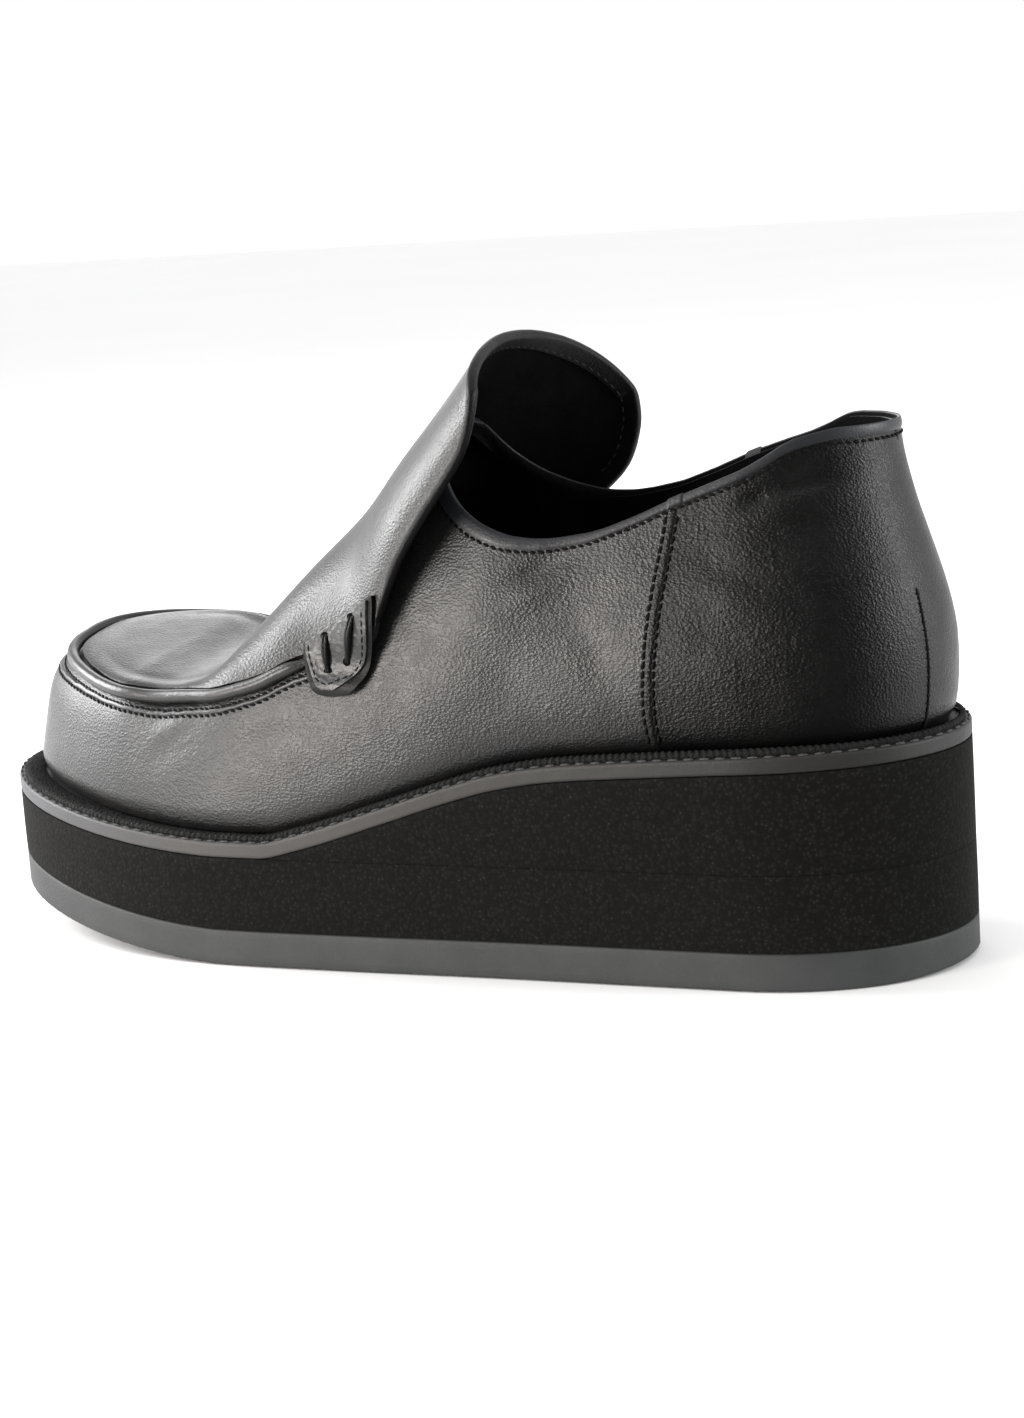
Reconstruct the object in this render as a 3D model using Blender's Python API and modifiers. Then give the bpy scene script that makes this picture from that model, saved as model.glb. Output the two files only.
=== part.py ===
"""Left platform wedge loafer: smooth leather upper on a flat foam wedge.

Frame: toe towards -Y, heel towards +Y, lateral side at +X, floor at Z = 0.
Sizes are in metres. The upper and everything laid on it come from one function,
last_point, that gives any point of the last's surface.
"""

import math

import bmesh
import bpy

MM = 0.001

# Driving sizes of the sole
SOLE_LENGTH = 272 * MM
BALL_WIDTH = 97.6 * MM
OUTSOLE_THICKNESS = 9.4 * MM
SLAB_THICKNESS = 19.0 * MM
RIM_THICKNESS = 4.1 * MM
HEEL_RISE = 25.2 * MM
TOE_SPRING = 11.0 * MM
TOE_THINNING = 2.2 * MM
HEEL_LIFT = 0.9 * MM
TOE_SWING = 6.1 * MM
GAP = 0.3 * MM

# Driving sizes of the upper
WALL = 2.0 * MM
UPPER_INSET = 4.2 * MM
TOE_INSET = 2.6 * MM
TOE_TILT = 6.5 * MM
HEEL_FULLNESS = 1.8 * MM
FEATHER_TUCK = 3.0 * MM
TOE_HEIGHT = 74.5 * MM
INSTEP_HEIGHT = 134.0 * MM
COLLAR_LOW = 108.0 * MM
COLLAR_TILT = 4.6 * MM
HEEL_HEIGHT = 131.5 * MM
HEEL_LEAN = 11.6 * MM
QUARTER_LEAN = 9.5 * MM
SIDE_LEAN = 6.0 * MM
BINDING_HEIGHT = 4.2 * MM
BINDING_WALL = 2.7 * MM
WELT_MARGIN = 1.4 * MM
WELT_WIDTH = 3.1 * MM
WELT_HEIGHT = 1.5 * MM
INSOLE_THICKNESS = 3.0 * MM

# Driving sizes of the apron, its roll and its tabs
APRON_WALL = 1.6 * MM
ROLL_RADIUS = 1.7 * MM
ROLL_CLEAR = ROLL_RADIUS + 2 * GAP
FLAP_CLEAR = 3 * GAP
APRON_CLEAR = 0.7 * MM
FLAP_HEIGHT = 155.0 * MM
FLAP_WIDTH = 82.0 * MM
TAB_WIDTH = 18.0 * MM
TAB_DROP = 23.0 * MM
TAB_FOOT = 71.0 * MM
TAB_WALL = 1.8 * MM

# Toe spring, heel lift and where the wedge starts, as shares along the sole
SPRING_SHARE = 0.32
SPRING_CURVE = 1.42
HEEL_LIFT_SHARE = 0.05
HEEL_LIFT_CURVE = 1.5
WEDGE_START = 0.405

# Outline ends: share of the length that each rounded end takes, and how square it is
TOE_SHARE = 0.31
TOE_SQUARE = 2.28
HEEL_SHARE = 0.17
HEEL_SQUARE = 2.05

# Half widths of the sole, as shares of BALL_WIDTH
# along the sole, lateral, medial
SOLE_WIDTHS = [
    (0.00, 0.467, 0.451),
    (0.30, 0.509, 0.491),
    (0.45, 0.482, 0.440),
    (0.60, 0.448, 0.380),
    (0.80, 0.415, 0.372),
    (1.00, 0.382, 0.376),
]

# Rise of the wedge's top line, as a share of HEEL_RISE
# along the sole, rise
WEDGE_LINE = [
    (0.00, 0.00),
    (0.37, 0.00),
    (0.41, 0.09),
    (0.50, 0.39),
    (0.56, 0.60),
    (0.61, 0.75),
    (0.66, 0.84),
    (0.72, 0.89),
    (0.87, 0.97),
    (1.00, 1.00),
]

# The last: ridge height between toe and instep, squareness of the section,
# lean of its wall as a share of SIDE_LEAN, and bulge height above the platform
# as a share of BALL_WIDTH
# along the sole, ridge, square, lean, bulge
LAST = [
    (0.000, 0.000, 6.5, 1.00, 0.06),
    (0.180, 0.000, 6.5, 1.00, 0.07),
    (0.240, -0.040, 5.2, 1.00, 0.08),
    (0.283, -0.010, 4.8, 1.00, 0.08),
    (0.335, 0.185, 3.4, 0.90, 0.08),
    (0.390, 0.405, 2.7, 0.70, 0.09),
    (0.430, 0.555, 2.25, 0.50, 0.09),
    (0.460, 0.675, 2.1, 0.35, 0.10),
    (0.486, 0.800, 2.05, 0.25, 0.10),
    (0.515, 0.945, 2.0, 0.15, 0.10),
    (0.540, 1.000, 2.0, 0.00, 0.11),
    (0.610, 1.050, 2.3, 0.00, 0.13),
    (0.720, 1.080, 2.5, 0.00, 0.16),
    (0.870, 1.200, 2.5, 0.00, 0.18),
    (1.000, 1.220, 2.5, 0.00, 0.18),
]

# Topline: height above the low point, as a share of the rise to the instep in
# front of it and of the rise to the heel behind it
# along the opening, rise
TOPLINE = [
    (0.000, 1.000),
    (0.008, 0.750),
    (0.050, 0.460),
    (0.100, 0.270),
    (0.170, 0.110),
    (0.240, 0.020),
    (0.300, 0.000),
    (0.400, 0.050),
    (0.500, 0.190),
    (0.600, 0.380),
    (0.700, 0.540),
    (0.800, 0.700),
    (0.900, 0.880),
    (1.000, 1.000),
]
TOPLINE_LOW = 0.300

# Where along the last its ribs fan out, and where the closed forefoot turns into
# the open quarters
SPINE_TOE = 0.185
SPINE_HEEL = 0.850
QUARTER_BLEND = (0.58, 0.70)
TOE_INSET_END = 0.34
TILT_BLEND = (0.14, 0.36)
HEEL_BLEND = (0.85, 0.99)
THROAT_ALONG = 0.540
OPENING_END = 0.955

# Height of the apron's roll, as a share of TOE_HEIGHT
# along the sole, height
ROLL_LINE = [
    (0.00, 0.990),
    (0.13, 0.950),
    (0.19, 0.930),
    (0.25, 0.905),
    (0.30, 0.905),
    (0.36, 0.945),
    (0.40, 1.005),
    (0.45, 1.060),
]

# The flap: its ridge, its half width, and its lateral and medial side edges.
# Lengths along the sole are shares of SOLE_LENGTH, heights of FLAP_HEIGHT and the
# half width of FLAP_WIDTH.
# ridge along, ridge height, half width, lateral along, height, medial along, height
FLAP = [
    (0.345, 0.600, 0.490, 0.392, 0.480, 0.392, 0.505),
    (0.385, 0.655, 0.492, 0.440, 0.500, 0.440, 0.520),
    (0.430, 0.716, 0.492, 0.494, 0.518, 0.490, 0.530),
    (0.460, 0.768, 0.485, 0.510, 0.590, 0.525, 0.590),
    (0.486, 0.818, 0.480, 0.530, 0.665, 0.562, 0.645),
    (0.515, 0.870, 0.470, 0.557, 0.735, 0.600, 0.700),
    (0.545, 0.925, 0.462, 0.586, 0.800, 0.628, 0.745),
    (0.566, 0.965, 0.456, 0.603, 0.845, 0.642, 0.785),
    (0.580, 0.990, 0.450, 0.612, 0.885, 0.651, 0.818),
    (0.588, 1.000, 0.444, 0.616, 0.912, 0.654, 0.850),
]
LATERAL = 3
MEDIAL = 5
FLAP_BOW = 0.62
FLAP_SHIFT = 2.0 * MM
FLAP_SQUARE = 2.05
FLAP_BLEND = (0.360, 0.470)
EDGE_SLANT = 0.300
ROLL_END = 0.428

# A tab, in rows from its foot up: how far up it is, as a share of TAB_DROP, and
# where it starts and ends towards the heel, as shares of TAB_WIDTH
# rise, front, back
TAB = [
    (0.00, 0.36, 0.62),
    (0.05, 0.20, 0.80),
    (0.14, 0.09, 0.91),
    (0.30, 0.03, 0.95),
    (0.52, 0.02, 0.97),
    (0.76, 0.50, 0.99),
    (1.00, 0.98, 1.00),
]
TAB_START = 0.430

# How finely the surfaces are divided
TOE_STEPS = 9
VAMP_STEPS = 13
VAMP_END = 0.510
THROAT_END = 0.630
THROAT_STEPS = 8
SIDE_STEPS = 7
HEEL_STEPS = 7
WALL_STEPS = 4
WALL_END = 1.25
RIB_STEPS = 7
TUCK_STEPS = 3
FLAP_STEPS = 8
APRON_HALF_STEPS = 10
TAB_STEPS = 4


def follow(rows, column, x):
    """Smooth value of one column of a table, with no overshoot between its rows."""
    xs = [row[0] for row in rows]
    ys = [row[column] for row in rows]
    x = min(max(x, xs[0]), xs[-1])
    i = max(n for n in range(len(xs) - 1) if xs[n] <= x)
    slopes = [(ys[n + 1] - ys[n]) / (xs[n + 1] - xs[n]) for n in range(len(xs) - 1)]

    def tangent(n):
        if n == 0 or n == len(xs) - 1:
            return slopes[min(n, len(slopes) - 1)]
        if slopes[n - 1] * slopes[n] <= 0:
            return 0.0
        return 2 * slopes[n - 1] * slopes[n] / (slopes[n - 1] + slopes[n])

    h = xs[i + 1] - xs[i]
    t = (x - xs[i]) / h
    rise = ys[i + 1] - ys[i]
    a = tangent(i) * h
    b = tangent(i + 1) * h
    return ys[i] + a * t + (3 * rise - 2 * a - b) * t ** 2 + (a + b - 2 * rise) * t ** 3


def ramp(x, start, end):
    """0 before start, 1 after end, smooth between."""
    t = min(max((x - start) / (end - start), 0.0), 1.0)
    return t * t * (3 - 2 * t)


def y_at(along):
    return (along - 0.5) * SOLE_LENGTH


def along_at(y):
    return y / SOLE_LENGTH + 0.5


# The sole's outline and heights


def end_rounding(along):
    toe = min(max(1 - along / TOE_SHARE, 0.0), 1.0)
    heel = min(max((along - 1 + HEEL_SHARE) / HEEL_SHARE, 0.0), 1.0)
    front = max(1 - toe ** TOE_SQUARE, 0.0) ** (1 / TOE_SQUARE)
    back = max(1 - heel ** HEEL_SQUARE, 0.0) ** (1 / HEEL_SQUARE)
    return front * back


def centre_x(along):
    """Middle line of the sole: it swings to the medial side towards the toe."""
    swing = -TOE_SWING * max(1 - 2 * along, 0.0) ** 2
    lateral = follow(SOLE_WIDTHS, 1, along)
    medial = follow(SOLE_WIDTHS, 2, along)
    return swing + (lateral - medial) * BALL_WIDTH / 2


def half_width(along, inset):
    lateral = follow(SOLE_WIDTHS, 1, along)
    medial = follow(SOLE_WIDTHS, 2, along)
    return (lateral + medial) * BALL_WIDTH / 2 - inset


def outline(along, side, inset):
    """Point of the sole's outline, moved in by inset; along runs over the inset shape."""
    x = centre_x(along) + side * half_width(along, inset) * end_rounding(along)
    y = y_at(along) * (1 - 2 * inset / SOLE_LENGTH)
    return x, y


def spring(along):
    """0 on the flat of the sole, rising to 1 at the toe."""
    return max((SPRING_SHARE - along) / SPRING_SHARE, 0.0) ** SPRING_CURVE


def floor_height(y):
    along = along_at(y)
    back = max((along - 1 + HEEL_LIFT_SHARE) / HEEL_LIFT_SHARE, 0.0)
    return TOE_SPRING * spring(along) + HEEL_LIFT * back ** HEEL_LIFT_CURVE


def outsole_top(y):
    return TOE_SPRING * spring(along_at(y)) + OUTSOLE_THICKNESS


def slab_top(y):
    along = along_at(y)
    return outsole_top(y) + SLAB_THICKNESS - TOE_THINNING * spring(along)


def wedge_top(y):
    return slab_top(y) + HEEL_RISE * follow(WEDGE_LINE, 1, along_at(y))


def platform(y):
    """Top of the rim, that the upper stands on."""
    return wedge_top(y) + RIM_THICKNESS


def sole_stations(toe_steps=TOE_STEPS + 3, middle_steps=26, heel_steps=HEEL_STEPS + 3):
    """Shares along the sole, closer together round its two ends."""
    stations = []
    for n in range(toe_steps):
        angle = math.pi / 2 * n / toe_steps
        stations.append(TOE_SHARE * (1 - math.cos(angle) ** (2 / TOE_SQUARE)))
    middle = 1 - TOE_SHARE - HEEL_SHARE
    for n in range(middle_steps):
        stations.append(TOE_SHARE + middle * n / middle_steps)
    for n in range(heel_steps + 1):
        angle = math.pi / 2 * n / heel_steps
        stations.append(1 - HEEL_SHARE * (1 - math.sin(angle) ** (2 / HEEL_SQUARE)))
    return stations


# The last


def spine_along(along):
    """The ribs of the toe and of the heel fan out from the two ends of the spine."""
    return min(max(along, SPINE_TOE), SPINE_HEEL)


def upper_inset(along):
    """How far the upper stands in from the sole's edge: more at the toe, less at the heel."""
    toe = TOE_INSET * (1 - ramp(along, 0.0, TOE_INSET_END))
    return UPPER_INSET + toe - HEEL_FULLNESS * ramp(along, *HEEL_BLEND)


def ridge_height(along):
    return TOE_HEIGHT + (INSTEP_HEIGHT - TOE_HEIGHT) * follow(LAST, 1, along)


def toe_tilt(along):
    """Slope of the forefoot: its medial side is the higher one."""
    return TOE_TILT * 2 / BALL_WIDTH * (1 - ramp(along, *TILT_BLEND))


def bulge_height(y):
    return platform(y) + BALL_WIDTH * follow(LAST, 4, along_at(y))


def last_point(side, along, part, grow=0.0):
    """Point of the last's surface, grown outwards by grow.

    part runs from 0 at the feather line through 1 at the bulge to 2 at the spine.
    """
    base_x, base_y = outline(along, side, upper_inset(along))
    hub = spine_along(along)
    hub_x = centre_x(hub)
    hub_y = y_at(hub) * (1 - 2 * upper_inset(hub) / SOLE_LENGTH)
    reach = math.hypot(base_x - hub_x, base_y - hub_y)
    low = platform(base_y) + GAP
    bulge = bulge_height(base_y)
    up = 0.0
    if part < 1:
        out = reach + grow - FEATHER_TUCK * (1 - math.sqrt(1 - (1 - part) ** 2))
        z = low + (bulge - low) * part
    else:
        ridge = ridge_height(hub) + grow
        square = follow(LAST, 2, hub)
        angle = math.pi / 2 * (part - 1)
        up = math.sin(angle) ** (2 / square)
        z = bulge + (ridge - bulge) * up
        lean = SIDE_LEAN * follow(LAST, 3, hub) * up / reach
        closed = max(math.cos(angle), 0.0) ** (2 / square) * (1 - lean)
        quarter = 1 - quarter_lean(along) * ramp(z, bulge, HEEL_HEIGHT) / reach
        share = closed + (quarter - closed) * ramp(along, *QUARTER_BLEND)
        out = (reach + grow) * share
    scale = out / reach
    x = hub_x + (base_x - hub_x) * scale
    y = hub_y + (base_y - hub_y) * scale
    return x, y, z + toe_tilt(along) * (hub_x - x) * up


def quarter_lean(along):
    """How far the quarter leans in at the heel's height: most at the back."""
    return QUARTER_LEAN + (HEEL_LEAN - QUARTER_LEAN) * ramp(along, *HEEL_BLEND)


def part_at_height(along, z):
    """The part of a rib, from the bulge up, at which it reaches height z."""
    hub = spine_along(along)
    bulge = bulge_height(outline(along, 1, upper_inset(along))[1])
    up = (z - bulge) / (ridge_height(hub) - bulge)
    up = min(max(up, 0.0), 1.0)
    return 1 + math.asin(up ** (follow(LAST, 2, hub) / 2)) / (math.pi / 2)


def topline_part(side, along, margin):
    """Where a rib ends at the opening, with the whole edge lowered by margin.

    The medial side of the topline is the higher one.
    """
    start = THROAT_ALONG - margin / SOLE_LENGTH
    if along <= start:
        return 2.0
    share = (along - start) / (OPENING_END - start)
    top = INSTEP_HEIGHT if share < TOPLINE_LOW else HEEL_HEIGHT
    z = COLLAR_LOW + (top - COLLAR_LOW) * follow(TOPLINE, 1, share) - margin
    if side < 0:
        z += COLLAR_TILT * math.sin(math.pi * min(share, 1.0))
    return part_at_height(along, z)


def last_stations(margins):
    """Shares along the last: toe fan, vamp, throat, sides and heel fan."""
    stations = []
    for n in range(TOE_STEPS):
        angle = math.pi / 2 * n / TOE_STEPS
        stations.append(SPINE_TOE * (1 - math.cos(angle) ** (2 / TOE_SQUARE)))
    for n in range(VAMP_STEPS + 1):
        stations.append(SPINE_TOE + (VAMP_END - SPINE_TOE) * n / VAMP_STEPS)
    throat = []
    for margin in margins:
        start = THROAT_ALONG - margin / SOLE_LENGTH
        for n in range(THROAT_STEPS + 1):
            throat.append(start + (THROAT_END - start) * (n / THROAT_STEPS) ** 2)
    for along in sorted(throat):
        if along - stations[-1] > 0.3 * MM / SOLE_LENGTH:
            stations.append(along)
    for n in range(1, SIDE_STEPS + 1):
        stations.append(THROAT_END + (SPINE_HEEL - THROAT_END) * n / SIDE_STEPS)
    for n in range(1, HEEL_STEPS + 1):
        angle = math.pi / 2 * n / HEEL_STEPS
        stations.append(1 - (1 - SPINE_HEEL) * (1 - math.sin(angle) ** (2 / HEEL_SQUARE)))
    return stations


# Making objects


def new_object(name, bm, material, collection):
    """Turn a bmesh into an object, with its doubles merged and its faces outwards."""
    bmesh.ops.remove_doubles(bm, verts=bm.verts, dist=0.01 * MM)
    bmesh.ops.dissolve_degenerate(bm, edges=bm.edges, dist=0.01 * MM)
    mesh = bpy.data.meshes.new(name)
    bm.to_mesh(mesh)
    bm.free()
    mesh.materials.append(material)
    mesh.shade_smooth()
    mesh.set_sharp_from_angle(angle=math.radians(40))
    piece = bpy.data.objects.new(name, mesh)
    collection.objects.link(piece)
    return piece


def add_grid(bm, rows):
    """Quads between neighbouring rows of points."""
    verts = [[bm.verts.new(point) for point in row] for row in rows]
    for one, two in zip(verts, verts[1:]):
        for n in range(len(one) - 1):
            bm.faces.new((one[n], one[n + 1], two[n + 1], two[n]))


def loft(name, rings, material, collection):
    """A solid through closed rings, whose first and last ring close up on themselves."""
    bm = bmesh.new()
    add_grid(bm, [ring + ring[:1] for ring in rings])
    bmesh.ops.remove_doubles(bm, verts=bm.verts, dist=0.01 * MM)
    open_edges = [edge for edge in bm.edges if edge.is_boundary]
    bmesh.ops.holes_fill(bm, edges=open_edges)
    bmesh.ops.recalc_face_normals(bm, faces=bm.faces)
    return new_object(name, bm, material, collection)


def sheet(name, rows, wall, offset, material, collection):
    """An open surface through rows of points, thickened to a wall."""
    bm = bmesh.new()
    add_grid(bm, rows)
    piece = new_object(name, bm, material, collection)
    solidify = piece.modifiers.new("wall", "SOLIDIFY")
    solidify.thickness = wall
    solidify.offset = offset
    return piece


def make_material(name, colour, roughness):
    material = bpy.data.materials.new(name)
    material.use_nodes = True
    shader = material.node_tree.nodes["Principled BSDF"]
    shader.inputs["Base Color"].default_value = (*colour, 1.0)
    shader.inputs["Roughness"].default_value = roughness
    shader.inputs["Metallic"].default_value = 0.0
    return material


# The sole's layers


def no_inset(along):
    return 0.0


def sole_layer(name, stations, bottom, top, inset, material, collection):
    rings = []
    for along in stations:
        ring = []
        for side, height in ((-1, bottom), (1, bottom), (1, top), (-1, top)):
            x, y = outline(along, side, inset(along))
            ring.append((x, y, height(y)))
        rings.append(ring)
    return loft(name, rings, material, collection)


def make_sole(materials, collection):
    stations = sole_stations()
    sole_layer("outsole", stations, floor_height, outsole_top, no_inset,
               materials["rubber"], collection)
    sole_layer("midsole_slab", stations, lambda y: outsole_top(y) + GAP,
               lambda y: slab_top(y) - GAP, no_inset, materials["foam"], collection)
    behind = [WEDGE_START] + [s for s in stations if s > WEDGE_START + 0.01]
    sole_layer("midsole_wedge", behind,
               slab_top, lambda y: wedge_top(y) - GAP, no_inset, materials["foam"], collection)
    sole_layer("welt_rim", stations, wedge_top, platform, no_inset,
               materials["rim"], collection)


def make_welt_strip(materials, collection):
    """Stitched strip on the rim, all round the upper."""
    rings = []
    stations = sole_stations()
    loop = [(1, s) for s in reversed(stations)] + [(-1, s) for s in stations[1:-1]]
    for side, along in loop:
        ring = []
        inner = WELT_MARGIN + WELT_WIDTH + upper_inset(along) - UPPER_INSET
        for inset, rise in ((inner, GAP), (WELT_MARGIN, GAP),
                            (WELT_MARGIN, WELT_HEIGHT), (inner, WELT_HEIGHT)):
            x, y = outline(along, side, inset)
            ring.append((x, y, platform(y) + rise))
        rings.append(ring)
    return loft("welt_strip", rings + rings[:1], materials["welt"], collection)


def make_insole(materials, collection):
    def inset(along):
        return upper_inset(along) + FEATHER_TUCK + WALL + 2 * GAP

    sole_layer("insole", sole_stations(9, 16, 7), lambda y: platform(y) + GAP,
               lambda y: platform(y) + GAP + INSOLE_THICKNESS, inset,
               materials["lining"], collection)


# The upper and what is laid on it


def loop_of_ribs(stations):
    """All ribs once round the last, from the heel by the lateral side to the toe and back."""
    return [(1, s) for s in reversed(stations)] + [(-1, s) for s in stations]


def make_upper(materials, collection):
    margin = BINDING_HEIGHT + GAP
    rows = []
    for side, along in loop_of_ribs(last_stations([margin])):
        end = topline_part(side, along, margin)
        parts = [n / TUCK_STEPS for n in range(TUCK_STEPS)]
        parts += [1 + (WALL_END - 1) * n / WALL_STEPS for n in range(WALL_STEPS)]
        parts += [WALL_END + (end - WALL_END) * n / RIB_STEPS for n in range(RIB_STEPS + 1)]
        rows.append([last_point(side, along, part) for part in parts])
    return sheet("upper", rows, WALL, -1, materials["leather"], collection)


def make_binding(materials, collection):
    """Folded band that closes the top edge of the upper."""
    stations = [s for s in last_stations([BINDING_HEIGHT, 0.0])
                if s >= THROAT_ALONG - BINDING_HEIGHT / SOLE_LENGTH - 1e-6]
    proud = (BINDING_WALL - WALL) / 2
    rows = []
    for side, along in loop_of_ribs(stations):
        low = topline_part(side, along, BINDING_HEIGHT)
        high = topline_part(side, along, 0.0)
        rows.append([last_point(side, along, low + (high - low) * n / 3, proud)
                     for n in range(4)])
    return sheet("collar_binding", rows, BINDING_WALL, -1, materials["binding"], collection)


def roll_part(along):
    return part_at_height(along, TOE_HEIGHT * follow(ROLL_LINE, 1, along))


def roll_point(side, along, grow):
    return last_point(side, along, roll_part(along), grow)


def apron_edge_part(along):
    """Where the apron starts on a rib: just inside the roll."""
    part = roll_part(along)
    centre = last_point(1, along, part, GAP + ROLL_RADIUS)
    outer = APRON_CLEAR + APRON_WALL
    while part < 2 and math.dist(centre, last_point(1, along, part, outer)) < ROLL_CLEAR:
        part += 0.005
    return part


def make_apron(materials, collection):
    """Apron with the tall flap over the instep, in rows from the toe to the flap's top."""
    rows = []
    ridge = [s for s in last_stations([0.0]) if s <= FLAP_BLEND[1]]
    last = ridge[-1]
    for n in range(1, FLAP_STEPS + 1):
        ridge.append(last + (FLAP[-1][0] - last) * math.sin(math.pi / 2 * n / FLAP_STEPS))
    for along in ridge:
        rows.append(apron_row(along, APRON_HALF_STEPS))
    return sheet("apron", rows, APRON_WALL, 1, materials["leather"], collection)


def apron_row(along, across):
    """One row of the apron, from the medial edge over the ridge to the lateral edge."""
    flap = ramp(along, *FLAP_BLEND)
    row = []
    for n in range(-across, across + 1):
        side = -1 if n < 0 else 1
        share = abs(n) / across
        here = along + (edge_along(along, side) - along) * share ** 2
        start = min(apron_edge_part(min(here, ROLL_END)), 2.0)
        flat = last_point(side, here, 2 - (2 - start) * share, APRON_CLEAR)
        if flap == 0:
            row.append(flat)
            continue
        stand = flap_point(side, along, share)
        point = [a + (b - a) * flap for a, b in zip(flat, stand)]
        row.append(keep_clear(side, point))
    return row


def edge_along(along, side):
    """Where the side edge is on the row whose ridge is at along."""
    column = LATERAL if side > 0 else MEDIAL
    if along > FLAP[0][0]:
        return follow(FLAP, column, along)
    share = max((along - EDGE_SLANT) / (FLAP[0][0] - EDGE_SLANT), 0.0)
    return along + (FLAP[0][column] - FLAP[0][0]) * share


def flap_point(side, along, share):
    """Inner face of the flap: an arch from its ridge down to its side edge."""
    ridge_y = y_at(along)
    ridge_z = FLAP_HEIGHT * follow(FLAP, 1, along) - APRON_WALL
    edge_x = FLAP_WIDTH * follow(FLAP, 2, along)
    edge_y = y_at(edge_along(along, side))
    edge_z = FLAP_HEIGHT * follow(FLAP, (LATERAL if side > 0 else MEDIAL) + 1, along)
    angle = math.pi / 2 * share
    out = math.sin(angle) ** (2 / FLAP_SQUARE)
    drop = 1 - max(math.cos(angle), 0.0) ** (2 / FLAP_SQUARE)
    y = ridge_y + (edge_y - ridge_y) * drop ** FLAP_BOW
    z = ridge_z + (edge_z - ridge_z) * drop
    shift = FLAP_SHIFT * ramp(along, *FLAP_BLEND)
    return centre_x(along_at(y)) - shift + side * edge_x * out, y, z


def keep_clear(side, point):
    """Move a point of the flap out where it comes closer to the upper than FLAP_CLEAR."""
    x, y, z = point
    along = along_at(y / (1 - 2 * UPPER_INSET / SOLE_LENGTH))
    if z >= ridge_height(along) + GAP:
        return point
    wall_x = last_point(side, along, part_at_height(along, z), FLAP_CLEAR)[0]
    if (x - wall_x) * side < 0:
        x = wall_x
    return x, y, z


def make_roll(materials, collection):
    """Raised rolled seam round the apron, from tab to tab."""
    toe = [s for s in last_stations([0.0]) if s < ROLL_END - 0.01]
    loop = loop_of_ribs(toe + [ROLL_END])
    points = [roll_point(side, along, GAP + ROLL_RADIUS) for side, along in loop]
    points = [p for n, p in enumerate(points) if n == 0 or math.dist(p, points[n - 1]) > MM]
    curve = bpy.data.curves.new("apron_roll", "CURVE")
    curve.dimensions = "3D"
    curve.bevel_depth = ROLL_RADIUS
    curve.bevel_resolution = 2
    curve.use_fill_caps = True
    spline = curve.splines.new("POLY")
    spline.points.add(len(points) - 1)
    for slot, point in zip(spline.points, points):
        slot.co = (*point, 1.0)
    curve.materials.append(materials["leather"])
    collection.objects.link(bpy.data.objects.new("apron_roll", curve))


def make_tab(name, side, materials, collection):
    """Leather tab over the lower corner of the flap, down to the quarter below it."""
    rows = []
    for rise, front, back in TAB:
        z = TAB_FOOT + TAB_DROP * rise
        row = []
        for n in range(TAB_STEPS + 1):
            y = y_at(TAB_START) + TAB_WIDTH * (front + (back - front) * n / TAB_STEPS)
            row.append((tab_x(side, y, z), y, z))
        rows.append(row if side > 0 else row[::-1])
    return sheet(name, rows, TAB_WALL, 1, materials["leather"], collection)


def tab_x(side, y, z):
    """The tab lies on the flap, and below the flap's edge it turns in to the quarter."""
    along = along_at(y / (1 - 2 * UPPER_INSET / SOLE_LENGTH))
    wall_x = last_point(side, along, part_at_height(along, z), GAP)[0]
    flap_x = centre_x(along_at(y)) + side * (FLAP_WIDTH / 2 + APRON_WALL + GAP)
    edge_z = FLAP_HEIGHT * FLAP[2][4]
    on_flap = ramp(z, edge_z - TAB_WALL * 4, edge_z - TAB_WALL)
    return wall_x + (flap_x - wall_x) * on_flap


def main():
    for old in list(bpy.data.objects):
        bpy.data.objects.remove(old)
    collection = bpy.data.collections.new("platform_wedge_loafer")
    bpy.context.scene.collection.children.link(collection)
    materials = {
        "leather": make_material("smooth_black_leather", (0.022, 0.022, 0.024), 0.42),
        "binding": make_material("dark_binding_leather", (0.030, 0.031, 0.036), 0.45),
        "lining": make_material("black_lining", (0.010, 0.010, 0.010), 0.80),
        "welt": make_material("black_welt", (0.012, 0.012, 0.013), 0.75),
        "rim": make_material("grey_rim", (0.140, 0.142, 0.155), 0.55),
        "foam": make_material("black_foam", (0.018, 0.018, 0.016), 0.85),
        "rubber": make_material("grey_rubber", (0.062, 0.065, 0.066), 0.60),
    }
    make_sole(materials, collection)
    make_welt_strip(materials, collection)
    make_insole(materials, collection)
    make_upper(materials, collection)
    make_binding(materials, collection)
    make_apron(materials, collection)
    make_roll(materials, collection)
    make_tab("tab_lateral", 1, materials, collection)
    make_tab("tab_medial", -1, materials, collection)


main()
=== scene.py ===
"""Looks of a left platform wedge loafer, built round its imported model.

Frame: toe towards -Y, heel towards +Y, lateral side at +X, floor at Z = 0.
Sizes are in metres. Everything on the upper is laid on the last by last_point.
"""

import functools
import math
import random

import bmesh
import bpy
from mathutils import Matrix, Vector, noise
from mathutils.bvhtree import BVHTree


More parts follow.
